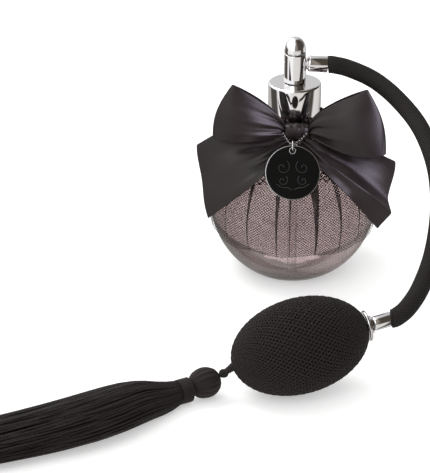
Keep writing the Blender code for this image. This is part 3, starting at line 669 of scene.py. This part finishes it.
def skirt_row(share):
    """One line of the cloth round the flask; share runs from the neck, 0, to the hem, 1."""
    down = max(0, share - NECK_SHARE) / (1 - NECK_SHARE)
    polar = NECK_POLAR + (HEM_POLAR - NECK_POLAR) * down
    ring = TULLE_RADIUS * math.sin(polar)
    lift = NECK_RISE * max(0, 1 - share / NECK_SHARE)
    gather = 1 - 0.85 * max(0, (share - 0.55) / 0.45)
    spare = max(0.0, CLOTH_WIDTH - 2 * math.pi * ring) * gather
    total = sum(weight for _, weight in PLEATS)
    row = []
    for i, (angle, weight) in enumerate(PLEATS):
        before, before_weight = PLEATS[i - 1]
        before -= 360 if i == 0 else 0
        half = math.degrees(spare * weight / total / (2 * EXTRA_LAYERS) / ring)
        half_before = math.degrees(spare * before_weight / total / (2 * EXTRA_LAYERS) / ring)
        depth = 0.55 * MM * min(1, half / 4)
        for s in np.linspace(0, 1, PANEL_STEPS, endpoint=False):
            turn = (before - half_before) * (1 - s) + (angle + half) * s
            row.append((turn, depth * s**2 + 0.35 * MM * math.sin(math.pi * s) * share))
        for s in np.linspace(0, 3, 3 * FOLD_STEPS, endpoint=False):
            to_and_fro = 1 - 2 * abs(s - 2 * round(s / 2))
            row.append((angle + half * to_and_fro, depth * (1 - 0.25 * s) + 0.05 * MM))
    points = []
    for turn, out in row:
        a = math.radians(turn)
        wave = 0.5 * MM * math.sin(9 * a) * share**6
        reach = ring + (out + 0.1 * MM) * math.sin(polar)
        z = BALL_Z + (TULLE_RADIUS + out) * math.cos(polar) + lift + wave
        points.append((reach * math.sin(a), -reach * math.cos(a), z))
    return points


shares = np.concatenate([[0, NECK_SHARE / 2], np.linspace(NECK_SHARE, 1, 56)])
skirt_points = np.array([skirt_row(s) for s in shares])
skirt_points = np.concatenate([skirt_points, skirt_points[:, :1]], axis=1)
middle_row = skirt_points[len(shares) // 2]
across = np.linalg.norm(np.diff(middle_row, axis=0), axis=1).cumsum()
cloth_length = TULLE_RADIUS * (HEM_POLAR - NECK_POLAR) + NECK_RISE
u = np.concatenate([[0], across]) / across[-1] * CLOTH_WIDTH / MM
v = np.interp(shares, [0, NECK_SHARE, 1], [0, NECK_RISE / MM, cloth_length / MM])
uv = np.stack(np.meshgrid(u, v), -1)
skirt = grid("tulle_net", skirt_points, uv=uv)
dress(skirt, TULLE, "black_tulle", "bottle", "tulle_skirt")
print(f"tulle strip {CLOTH_WIDTH * 1000:.0f} x {cloth_length * 1000:.0f} mm")

# %% Gathering thread
GATHER_RADIUS, GATHER_Z, GATHER_RISE = 10 * MM, 66 * MM, 0.8 * MM
around = np.linspace(0, 6 * math.pi, 120)
turns = np.stack([
    GATHER_RADIUS * np.cos(around),
    GATHER_RADIUS * np.sin(around),
    GATHER_Z + GATHER_RISE * around / (6 * math.pi),
], -1)
gather = many_tubes("gather_winding", [turns], 0.3 * MM, 6)
dress(gather, THREAD_BLACK, "black_thread", "bottle", "gather_thread")

# %% [markdown]
# ## Bow
# The bow is one wide satin ribbon. Each loop runs out from the knot, turns round and comes
# back, and each tail falls over the shoulder of the flask. Satin shows its shape by long
# soft folds that fan out from the knot, so every sheet here is a smooth surface with a
# ripple that is deep at the knot and dies away outwards.


# %% Ribbon sheets
RIBBON_WIDTH, SATIN_THICKNESS = 22 * MM, 0.35 * MM
KNOT = middle("bow_knot")
KNOT_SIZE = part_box("bow_knot")[1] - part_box("bow_knot")[0]
ROOT_TOP_Z, ROOT_BOTTOM_Z, ROOT_Y = 69.3 * MM, 65.1 * MM, -15.1 * MM


def fan(width, full, s, folds, phase):
    """Height of the gathers at a share s across a ribbon that is squeezed to a width."""
    depth = 0.45 * max(0.0, full - width) / (4 * folds)
    crease = math.sin(2 * math.pi * (folds * s + phase))
    return depth * (crease + 0.3 * math.sin(2 * math.pi * (2.4 * folds * s + 1.7 * phase)))


def thicken(obj, offset):
    thick = obj.modifiers.new("thickness", "SOLIDIFY")
    thick.thickness = SATIN_THICKNESS
    thick.offset = offset


def ribbon_piece(name, rows, closed, node_name):
    """A ribbon of real thickness from a grid of points, smoothed once."""
    obj = grid(name, rows, closed_rows=closed)
    thicken(obj, 0)
    soft = obj.modifiers.new("smooth", "SUBSURF")
    soft.levels = soft.render_levels = 1
    return dress(obj, SATIN, "black_satin", "bottle", node_name)


def loop_rows(side, top_end, bottom_end, top_power, sag, lean, phase):
    """Rows round one loop; the ends are (distance out, height) of its turned corners."""
    root = KNOT_SIZE.x / 2 + 0.2 * MM
    rows = []
    for a in np.linspace(0, 2 * math.pi, 56, endpoint=False):
        t = (1 - math.cos(a)) / 2
        row = []
        for s in np.linspace(0, 1, 33):
            upper_z = ROOT_TOP_Z + (top_end[1] - ROOT_TOP_Z) * t**top_power
            dip = sag * math.sin(math.pi * t)
            lower_z = ROOT_BOTTOM_Z + (bottom_end[1] - ROOT_BOTTOM_Z) * t - dip
            x = root + (top_end[0] * (1 - s) + bottom_end[0] * s - root) * t
            x += 2.4 * MM * math.sin(math.pi * s) * t**2
            z = upper_z * (1 - s) + lower_z * s
            ahead = 2 * MM * t * (1 - s) + lean * math.sin(t * math.pi / 2) * s
            half = 0.6 * MM + 3.6 * MM * math.sqrt(t) * (0.22 + 0.78 * s**0.7)
            y = ROOT_Y - ahead + half * math.sin(a)
            y -= fan(upper_z - lower_z, RIBBON_WIDTH, s, 2.6, phase)
            y += 1.6 * MM * math.sin(math.pi * s) * math.sin(math.pi * t) * math.sin(a)
            row.append((KNOT.x + side * x, y, z))
        rows.append(row)
    return rows


# %% Bow loops
left = loop_rows(
    -1, (26.4 * MM, 88.4 * MM), (34.4 * MM, 66.4 * MM),
    top_power=0.62, sag=1.0 * MM, lean=4.5 * MM, phase=0.1,
)
right = loop_rows(
    1, (28.4 * MM, 86.2 * MM), (36.2 * MM, 60.6 * MM),
    top_power=0.56, sag=2.4 * MM, lean=8.5 * MM, phase=0.45,
)
loop_pieces = [
    ribbon_piece("satin_loop_left", left, True, "bow_loop_left"),
    ribbon_piece("satin_loop_right", right, True, "bow_loop_right"),
]


# %% Bow tails
def tail_rows(lines, phase, fold=0.0):
    """A sheet through three lines, from the knot outwards, given in millimetres.

    fold is the height of a rounded crease near the lower edge, which turns under it.
    """
    upper, mid, lower = (smooth_path([Vector(p) * MM for p in line], 40) for line in lines)
    full = np.linalg.norm(upper[-1] - lower[-1])
    rows = []
    for i, (a, b, c) in enumerate(zip(upper, mid, lower)):
        t = i / 39
        row = []
        for s in np.linspace(0, 1, 41):
            place = a * ((1 - s) * (1 - 2 * s)) + b * (4 * s * (1 - s)) + c * (s * (2 * s - 1))
            ripple = fan(np.linalg.norm(a - c), full, s, 2.3, phase) * 0.7
            ripple += 0.5 * MM * math.sin(2.5 * math.pi * s + 1) * t**2
            ripple += fold * max(0, 1 - abs(s - 0.78) / 0.22) ** 1.5 * min(1, t * 1.4)
            out = Vector(place) - FLASK_CENTRE
            reach = max(out.length + ripple + 0.4 * MM, TULLE_RADIUS + 1.3 * MM)
            row.append(tuple(FLASK_CENTRE + out.normalized() * reach))
        rows.append(row)
    return rows


left_tail = tail_rows([
    [(-4.4, -15.2, 63.6), (-16, -13.5, 64.0), (-30, -12.5, 65.0), (-40, -13, 60)],
    [(-2.8, -16.5, 62.9), (-13, -20.5, 58.7), (-25.5, -19.5, 53), (-38.6, -17, 46)],
    [(-1.0, -17.5, 62.4), (-9, -25.7, 56.0), (-19.5, -28.2, 46.5), (-35.3, -20, 30)],
], 0.2)
right_tail = tail_rows([
    [(5.2, -15.2, 63.6), (17, -13.0, 61.2), (30, -11.8, 57.5), (41, -14, 53)],
    [(3.6, -16.5, 62.9), (13.5, -20.4, 58.2), (26.5, -19.5, 50), (39.4, -16, 40)],
    [(1.9, -17.5, 62.4), (9.5, -25.9, 55.6), (21, -27.8, 43.8), (34.4, -17, 24)],
], 0.6, 3.2 * MM)
tail_pieces = [
    ribbon_piece("satin_tail_left", left_tail, False, "bow_tail_left"),
    ribbon_piece("satin_tail_right", right_tail, False, "bow_tail_right"),
]

# %% [markdown]
# The knot is a short band of the same ribbon wrapped round the middle. Its width is
# gathered into a few folds that run round it, and it is fullest in the middle. Under it a
# flat band holds the net to the neck, and the band's cut end stands out behind the collar.

# %% Knot and neck band
knot_rows = []
for s in np.linspace(-1, 1, 25):
    pinch = 1 - 0.22 * abs(s) ** 3
    pleat = 0.14 * MM * math.cos(3 * math.pi * s)
    row = []
    for a in np.linspace(0, 2 * math.pi, 48, endpoint=False):
        c, d = math.cos(a), math.sin(a)
        y = math.copysign(abs(c) ** 0.7, c) * (KNOT_SIZE.y / 2 * pinch + pleat)
        z = math.copysign(abs(d) ** 0.7, d) * (KNOT_SIZE.z / 2 * pinch + pleat)
        row.append((KNOT.x + s * KNOT_SIZE.x / 2, KNOT.y + y, KNOT.z + z))
    knot_rows.append(row)
knot = grid("satin_knot", knot_rows, closed_columns=True, caps=True)
dress(knot, SATIN, "black_satin", "bottle", "bow_knot")

band_low, band_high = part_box("neck_ribbon")
band = []
for s in np.linspace(0, 1, 22):
    z = band_low.z + (band_high.z - band_low.z) * s
    band.append((band_high.x - 0.3 * MM + 0.28 * MM * math.sin(7 * math.pi * s), z))
band += [(band_high.x - 0.85 * MM, band_high.z), (band_high.x - 0.85 * MM, band_low.z)]
dress(turned("satin_neck_band", band), SATIN, "black_satin", "bottle", "neck_ribbon")

root_a, root_b = Vector((6.5, 6.5, 66.5)) * MM, Vector((8.5, 5.0, 64.0)) * MM
end_a, end_b = Vector((10.7, 4.4, 70.3)) * MM, Vector((14.6, 3.6, 68.3)) * MM
tuck = grid("satin_band_end", [
    [tuple(root_a.lerp(root_b, s).lerp(end_a.lerp(end_b, s), t)) for s in np.linspace(0, 1, 7)]
    for t in np.linspace(0, 1, 9)
])
thicken(tuck, -1)
dress(tuck, SATIN, "black_satin", "bottle")

# %% [markdown]
# ## Tag, ring and chain
# A black enamelled disc with a bright edge hangs by a wire ring from a short bead chain.
# The face carries a plain scroll of thin etched lines.

# %% Tag
TAG = middle("tag")
RING = middle("jump_ring")
tag_up = ((RING - TAG) * Vector((0, 1, 1))).normalized()
tag_out = Vector((1, 0, 0)).cross(tag_up)
if tag_out.y > 0:
    tag_out = -tag_out
TAG_RADIUS = (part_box("tag")[1].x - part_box("tag")[0].x) / 2
RING_RADIUS, HOLE_RADIUS = 2.0 * MM, 0.9 * MM
HOLE_UP = (RING - TAG).length - RING_RADIUS


def tag_place(x, up, out):
    return Vector((TAG.x + x, TAG.y, TAG.z)) + tag_up * up + tag_out * out


face = [(0, -0.4 * MM), (TAG_RADIUS - 0.5 * MM, -0.4 * MM)]
face += [(TAG_RADIUS - 0.35 * MM, -0.2 * MM), (TAG_RADIUS - 0.35 * MM, 0.3 * MM)]
face += [(TAG_RADIUS - 0.45 * MM, 0.4 * MM), (0, 0.4 * MM)]
disc = turned("tag_face", face, TAG, tag_out, 96)
punch = [(0, -2 * MM), (HOLE_RADIUS, -2 * MM), (HOLE_RADIUS, 2 * MM), (0, 2 * MM)]
hole = turned("tag_hole_cutter", punch, tag_place(0, HOLE_UP, 0), tag_out, 32)
bore_cut = disc.modifiers.new("hole", "BOOLEAN")
bore_cut.object = hole
bore_cut.solver = "EXACT"
bpy.context.view_layer.update()
cut_mesh = bpy.data.meshes.new_from_object(
    disc.evaluated_get(bpy.context.evaluated_depsgraph_get())
)
disc.modifiers.clear()
disc.data = cut_mesh
disc.data.set_sharp_from_angle(angle=math.radians(25))
bpy.data.objects.remove(hole)
dress(disc, ENAMEL, "black_enamel", "tag", "tag")
edge = [(TAG_RADIUS - 0.32 * MM, -0.42 * MM), (TAG_RADIUS - 0.05 * MM, -0.42 * MM)]
edge += arc(TAG_RADIUS - 0.22 * MM, 0, 0.22 * MM, -60, 60, 6)
edge += [(TAG_RADIUS - 0.05 * MM, 0.42 * MM), (TAG_RADIUS - 0.32 * MM, 0.44 * MM)]
dress(turned("tag_edge", edge, TAG, tag_out, 96), STEEL, "chrome", "tag")
eyelet = arc(1.25 * MM, 0.45 * MM, 0.22 * MM, 0, 345, 12)
eyelet_piece = turned("tag_eyelet", eyelet, tag_place(0, HOLE_UP, 0), tag_out, 40)
dress(eyelet_piece, STEEL, "chrome", "tag")


# %% Scrolls on the tag
def spiral(x, up, size, turns, hand, tilt):
    path = []
    for s in np.linspace(0.08, 1, 40):
        a = tilt + hand * turns * 2 * math.pi * (1 - s)
        path.append(tag_place(x + size * s * math.cos(a), up + size * s * math.sin(a), 0.5 * MM))
    return path


scroll_paths = []
for hand in (1, -1):
    for up, size in ((2.2 * MM, 3.1 * MM), (-3.2 * MM, 2.3 * MM)):
        centre_x = hand * 4.1 * MM
        scroll_paths.append(spiral(centre_x, up, size, 1.3, hand, math.pi / 2 + hand * 0.6))
    sweep = [(0.4, -7.0), (2.2, -6.2), (4.6, -5.9), (6.8, -4.6)]
    line = [tag_place(hand * x * MM, z * MM, 0.5 * MM) for x, z in sweep]
    scroll_paths.append(smooth_path(line, 40))
scrolls = many_tubes("tag_scrolls", scroll_paths, 0.1 * MM, 5)
dress(scrolls, ETCHED, "black_enamel", "tag")

# %% Ring and bead chain
wire = arc(RING_RADIUS, 0, 0.28 * MM, 0, 345, 16)
dress(turned("tag_ring", wire, RING, (1, 0, 0), 48), CHROME, "chrome", "tag", "jump_ring")

chain_low, chain_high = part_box("tag_chain")
chain_line = smooth_path([
    (chain_low.x + 0.3 * MM, chain_high.y - 0.4 * MM, chain_high.z - 0.2 * MM),
    (-3.6 * MM, TAG_HINGE.y + 2.0 * MM, TAG_HINGE.z + 0.9 * MM),
    (TAG_HINGE.x - 1.0 * MM, TAG_HINGE.y, TAG_HINGE.z),
    (TAG_HINGE.x + 1.0 * MM, TAG_HINGE.y, TAG_HINGE.z),
    (1.8 * MM, TAG_HINGE.y + 1.8 * MM, TAG_HINGE.z + 0.7 * MM),
    (chain_high.x - 0.3 * MM, chain_high.y - 0.4 * MM, chain_high.z - 0.4 * MM),
], 11)
beads = [many_tubes("bead_chain", [chain_line], 0.16 * MM, 6)]
for k, place in enumerate(chain_line):
    beads.append(turned(f"bead_{k}", arc(0, 0, 0.42 * MM, -90, 90, 8), place, UP, 14, False))
with bpy.context.temp_override(active_object=beads[0], selected_editable_objects=beads):
    bpy.ops.object.join()
dress(beads[0], STEEL, "steel_chain", "bottle", "tag_chain")

# %% [markdown]
# ## Squeeze bulb
# The bulb is black rubber in a crocheted net. The net is made as it is on the real one:
# two sets of threads wind round the bulb in opposite directions and pass over and under
# each other. It thins out to a twisted tail, which carries the tassel.

# %% Rubber bulb and its net
BLADDER_RADIUS, BLADDER_HALF = 17.0 * MM, 25.6 * MM
NET_RADIUS, NET_HALF, NET_WEAVE = 17.7 * MM, 26.5 * MM, 0.24 * MM
rubber = [
    (BLADDER_RADIUS * math.sin(a), -BLADDER_HALF * math.cos(a))
    for a in np.linspace(0.16, math.pi - 0.2, 48)
]
bladder = turned("rubber_bladder", rubber, BULB_CENTRE, BULB_AXIS, 64, closed=False)
dress(bladder, RUBBER, "black_rubber", "head", "rubber_bulb")

STRANDS, NET_STEPS, NET_TURNS = 64, 90, 0.5


def net_paths():
    axis, side, other = frame_along(BULB_AXIS)
    centre = np.array(BULB_CENTRE)
    paths = []
    for hand in (1, -1):
        for k in range(STRANDS):
            path = []
            for i in range(NET_STEPS):
                s = i / (NET_STEPS - 1)
                a = 0.07 + (math.pi - 0.31) * s
                crossings = STRANDS * NET_TURNS * 2 * s
                over = NET_WEAVE * hand * math.cos(math.pi * (crossings + k))
                girth = (NET_RADIUS + over) * math.sin(a)
                turn = 2 * math.pi * (k / STRANDS + hand * NET_TURNS * s)
                out = girth * spoke(turn, side, other)
                path.append(centre - axis * (NET_HALF + over) * math.cos(a) + out)
            paths.append(path)
    return paths


net = many_tubes("crochet_net", net_paths(), 0.42 * MM, 5)
dress(net, NET_THREAD, "black_thread", "head", "bulb_net")
for piece in (bladder, net):
    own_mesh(piece)

# %% [markdown]
# ## Tassel
# A tassel is a hank of rayon threads folded over a cord. The fold makes a ribbed head, a
# few turns of thread make the neck, and the rest falls as the skirt. Here it lies on the
# table, so the strands run along the surface, spread sideways and settle into a low heap.

# %% Tassel cord and knot
random.seed(7)
KNOT_PLACE, HEAD_PLACE = middle("tassel_knot"), middle("tassel_head")
skirt_middle = middle("tassel_skirt")
TASSEL_AXIS = ((skirt_middle - HEAD_PLACE) * Vector((1, 1, 0))).normalized()
TASSEL_SIDE = UP.cross(TASSEL_AXIS)


def twisted(start, end, flare, strands, radius, turns):
    """Strands wound evenly round a straight run; flare is the extra girth at its start."""
    axis, side, other = frame_along(end - start)
    paths = []
    for k in range(strands):
        path = []
        for s in np.linspace(0, 1, 30):
            a = 2 * math.pi * (turns * s + k / strands)
            girth = radius * (1 + flare * (1 - s))
            path.append(np.array(start.lerp(end, s)) + girth * spoke(a, side, other))
        paths.append(path)
    return paths


CORD_RADIUS, KNOT_GIRTH = 0.5 * MM, 1.35 * MM
bulb_tail = BULB_CENTRE - BULB_AXIS * BLADDER_HALF
cord_paths = twisted(bulb_tail, KNOT_PLACE, 1.6, 4, 0.55 * MM, 1.8)
cord_piece = many_tubes("tassel_twist", cord_paths, CORD_RADIUS, 7)
dress(cord_piece, THREAD_BLACK, "black_thread", "tassel", "tassel_cord")

knot_paths = []
for k in range(3):
    lean = Matrix.Rotation(math.radians(60 * k + 20), 3, TASSEL_AXIS) @ UP
    axis, side, other = frame_along(lean + TASSEL_SIDE * 0.4)
    for shift in (-0.35, 0.35):
        centre = np.array(KNOT_PLACE) + axis * shift * MM
        around = np.linspace(0, 2 * math.pi, 28)
        knot_paths.append([centre + KNOT_GIRTH * spoke(a, side, other) for a in around])
knot_piece = many_tubes("tassel_tied_knot", knot_paths, CORD_RADIUS, 7)
dress(knot_piece, THREAD_BLACK, "black_thread", "tassel", "tassel_knot")

# %% Tassel head and wrap
RIBS, RIB_STEPS = 15, 8
HEAD_RADIUS, HEAD_HALF = 5.75 * MM, 6.1 * MM
head_rows = []
for s in np.linspace(0.0, 1, 40):
    a = math.pi * s
    row = []
    for k in range(RIBS * RIB_STEPS):
        turn = 2 * math.pi * k / (RIBS * RIB_STEPS)
        rib = 1 + 0.075 * (abs(math.cos(RIBS * turn / 2)) - 0.6) * math.sin(a) ** 0.6
        girth = HEAD_RADIUS * max(math.sin(a), 0.02) ** 0.75 * rib
        place = HEAD_PLACE - TASSEL_AXIS * HEAD_HALF * math.cos(a)
        row.append(tuple(place + spoke(turn, TASSEL_SIDE, UP) * girth))
    head_rows.append(row)
head_piece = grid("tassel_ribbed_head", head_rows, closed_columns=True, caps=True)
dress(head_piece, THREAD_BLACK, "black_thread", "tassel", "tassel_head")

wrap_centre = middle("tassel_wrap")
WRAP_TURNS, WRAP_LENGTH, WRAP_RADIUS = 9, 4.9 * MM, 4.45 * MM
winding = []
for s in np.linspace(0, 1, 420):
    a = 2 * math.pi * WRAP_TURNS * s
    place = wrap_centre + TASSEL_AXIS * (s - 0.5) * WRAP_LENGTH
    winding.append(tuple(place + spoke(a, TASSEL_SIDE, UP) * WRAP_RADIUS))
wrap = many_tubes("tassel_winding", [winding], 0.36 * MM, 6)
dress(wrap, THREAD_BLACK, "black_thread", "tassel", "tassel_wrap")

# %% [markdown]
# Each strand of the skirt starts somewhere inside the winding and keeps its place in the
# hank. The hank is round at the neck and flat and wide at the end, and every strand has a
# slow sway of its own. A seeded random choice keeps the result the same each time.

# %% Tassel skirt
STRAND_COUNT, STRAND_POINTS, STRAND_RADIUS = 760, 20, 0.34 * MM
SKIRT_LENGTH, SKIRT_BOW, SWELL_END, RISE_END = 88 * MM, 4.0 * MM, 0.5, 0.3
SKIRT_START = wrap_centre + TASSEL_AXIS * 2.2 * MM
NARROW, WIDE, TALL = 4.3 * MM, 12.4 * MM, 7.9 * MM


def strand(p, q, sway, phase, cut):
    """One strand at place (p, q) in the hank, each from -1 to 1."""
    path = []
    for t in np.linspace(0, cut, STRAND_POINTS):
        swell = math.sin(min(1, t / SWELL_END) * math.pi / 2)
        width = NARROW + (WIDE - NARROW) * swell
        rise = math.sin(min(1, t / RISE_END) * math.pi / 2)
        height = NARROW + (TALL - NARROW) * rise - 2.4 * MM * t**2
        lock = 0.9 * MM * math.sin(7 * p + 5 * q + 6 * t) * min(1, 2 * t)
        wave = 1.5 * sway * MM * math.sin(11 * t + phase) + lock
        bow = SKIRT_BOW * math.sin(math.pi * t) - 3.0 * MM * t**2
        across = p * width + bow + wave * min(1, 3 * t)
        bed = wrap_centre.z + (height - wrap_centre.z) * min(1, t * 6)
        z = max(STRAND_RADIUS, bed + q * height + 0.5 * wave * min(1, 3 * t))
        place = SKIRT_START + TASSEL_AXIS * SKIRT_LENGTH * t + TASSEL_SIDE * across
        path.append((place.x, place.y, z))
    return path


strand_paths = []
while len(strand_paths) < STRAND_COUNT:
    p, q = random.uniform(-1, 1), random.uniform(-1, 1)
    sway, phase = random.uniform(0.1, 0.9), random.uniform(0, 6.3)
    if 0.5 < p * p + q * q < 1:
        strand_paths.append(strand(p, q, sway, phase, random.uniform(0.93, 1.0)))
strands = many_tubes("tassel_strands", strand_paths, STRAND_RADIUS, 5)
dress(strands, THREAD_BLACK, "black_thread", "tassel", "tassel_skirt")

# %% [markdown]
# ## Parts that keep their frame shape
# The inner parts already have their true shape in the frame, so they only get a finish.

# %% Finishes on the frame's own parts
KEPT = {
    "closure_insert": BLACK_PLASTIC,
    "neck_gasket": GASKET,
    "stem": WHITE_PLASTIC,
    "dip_tube": CLEAR_TUBE,
    "spray_nozzle": CHROME,
    "outlet_valve": BRASS,
    "inlet_valve": BRASS,
    "outlet_ball": STEEL,
    "inlet_ball": STEEL,
}
for name, finish in KEPT.items():
    part = frame["nodes"][name]
    part.data.materials.clear()
    part.data.materials.append(finish)
    part.data.shade_smooth()
    part.data.set_sharp_from_angle(angle=math.radians(30))
print("kept:", ", ".join(KEPT))

# %% [markdown]
# ## Floor and light
# The object stands on a pale seamless floor. One large soft light from the upper left and
# back gives the faint shadow to the lower right, and a bright even sky fills the rest. A
# mirror needs something to show, so the sky has darker upright bands that only shiny
# surfaces see. A lavender light from the right falls on the satin alone and gives its bloom.

# %% Floor
reach = 6.0
corners = [(-reach, -reach, 0), (reach, -reach, 0), (reach, reach, 0), (-reach, reach, 0)]
floor = add_mesh("floor", corners, [(0, 1, 2, 3)])
floor.location.z = -0.1 * MM
floor_finish, floor_tree, floor_shader = new_material("pale floor")
feed(floor_tree, floor_shader, {"Base Color": (0.78, 0.775, 0.77, 1), "Roughness": 0.9})
feed(floor_tree, floor_shader, {"Emission Color": (1, 1, 1, 1), "Emission Strength": 0.38})
floor.data.materials.append(floor_finish)
floor.visible_glossy = False


# %% Lights and sky
def soft_light(name, place, target, size, power, colour=(1, 1, 1)):
    data = bpy.data.lights.new(name, "AREA")
    data.size = size
    data.energy = power
    data.color = colour
    light = bpy.data.objects.new(name, data)
    light.location = place
    aim = Vector(target) - Vector(place)
    light.rotation_euler = aim.to_track_quat("-Z", "Y").to_euler()
    bpy.context.scene.collection.objects.link(light)
    return light


LAVENDER = (0.88, 0.8, 1.0)
soft_light("key light", (-0.7, 0.5, 1.1), (0, -0.04, 0.03), 0.8, 7.5)
soft_light("front fill", (-0.5, -1.0, 0.9), (0, -0.04, 0.04), 0.8, 2.6)
bloom = soft_light("ribbon bloom", (0.8, -0.55, 0.3), (0, -0.02, 0.05), 0.7, 15.0, LAVENDER)
satin_only = bpy.data.collections.new("satin only")
for piece in [*loop_pieces, *tail_pieces, knot]:
    satin_only.objects.link(piece)
bloom.light_linking.receiver_collection = satin_only


def sky_ramp(tree, turn, stops):
    """Colour bands round the horizon; stops are (degrees from the front, grey, warmth)."""
    ramp = node(tree, "ShaderNodeValToRGB", {0: turn})
    elements = ramp.color_ramp.elements
    for k, (angle, grey, warmth) in enumerate(stops):
        place = angle / 360 + 0.5
        element = elements[k] if k < 2 else elements.new(place)
        element.position = place
        element.color = (grey * (1 + warmth), grey, grey * (1 - warmth), 1)
    return ramp.outputs[0]


world = bpy.data.worlds.new("studio")
world.use_nodes = True
bpy.context.scene.world = world
sky = world.node_tree
background = sky.nodes["Background"]
background.inputs["Strength"].default_value = 1.1
direction = node(sky, "ShaderNodeTexCoord").outputs["Generated"]
split = node(sky, "ShaderNodeSeparateXYZ", {0: direction})
ahead = maths(sky, "MULTIPLY", split.outputs[1], -1)
azimuth = maths(sky, "ARCTAN2", split.outputs[0], ahead)
turn = maths(sky, "MULTIPLY_ADD", azimuth, 1 / (2 * math.pi), 0.5)
low_bands = sky_ramp(sky, turn, [
    (-180, 0.35, 0.03), (180, 0.4, 0.03), (-134, 0.5, 0.03), (-124, 0.07, 0.1),
    (-90, 0.06, 0.1), (-80, 0.9, 0.02), (-28, 1.0, 0.0), (-16, 0.75, 0.03),
    (48, 0.7, 0.04), (60, 0.06, 0.15), (86, 0.06, 0.15), (96, 0.75, 0.02),
    (130, 0.65, 0.02), (150, 0.3, 0.05),
])
high_bands = sky_ramp(sky, turn, [
    (-180, 0.62, 0.0), (180, 0.62, 0.0), (-140, 1.1, 0.0), (-12, 1.1, 0.0), (-2, 0.2, 0.15),
    (18, 0.24, 0.12), (28, 0.06, 0.2), (100, 0.05, 0.2), (125, 0.18, 0.1), (160, 0.6, 0.0),
])
above = maths(sky, "MULTIPLY_ADD", split.outputs[2], 8.0, 0.5)
above = node(sky, "ShaderNodeClamp", {0: above}).outputs[0]
bands = blend_colour(sky, above, low_bands, high_bands)
ray = node(sky, "ShaderNodeLightPath")
through = blend_colour(
    sky, ray.outputs["Is Transmission Ray"], (1.0, 1.0, 1.0, 1), (0.12, 0.12, 0.12, 1)
)
sky_colour = blend_colour(sky, ray.outputs["Is Glossy Ray"], through, bands)
sky.links.new(sky_colour, background.inputs["Color"])
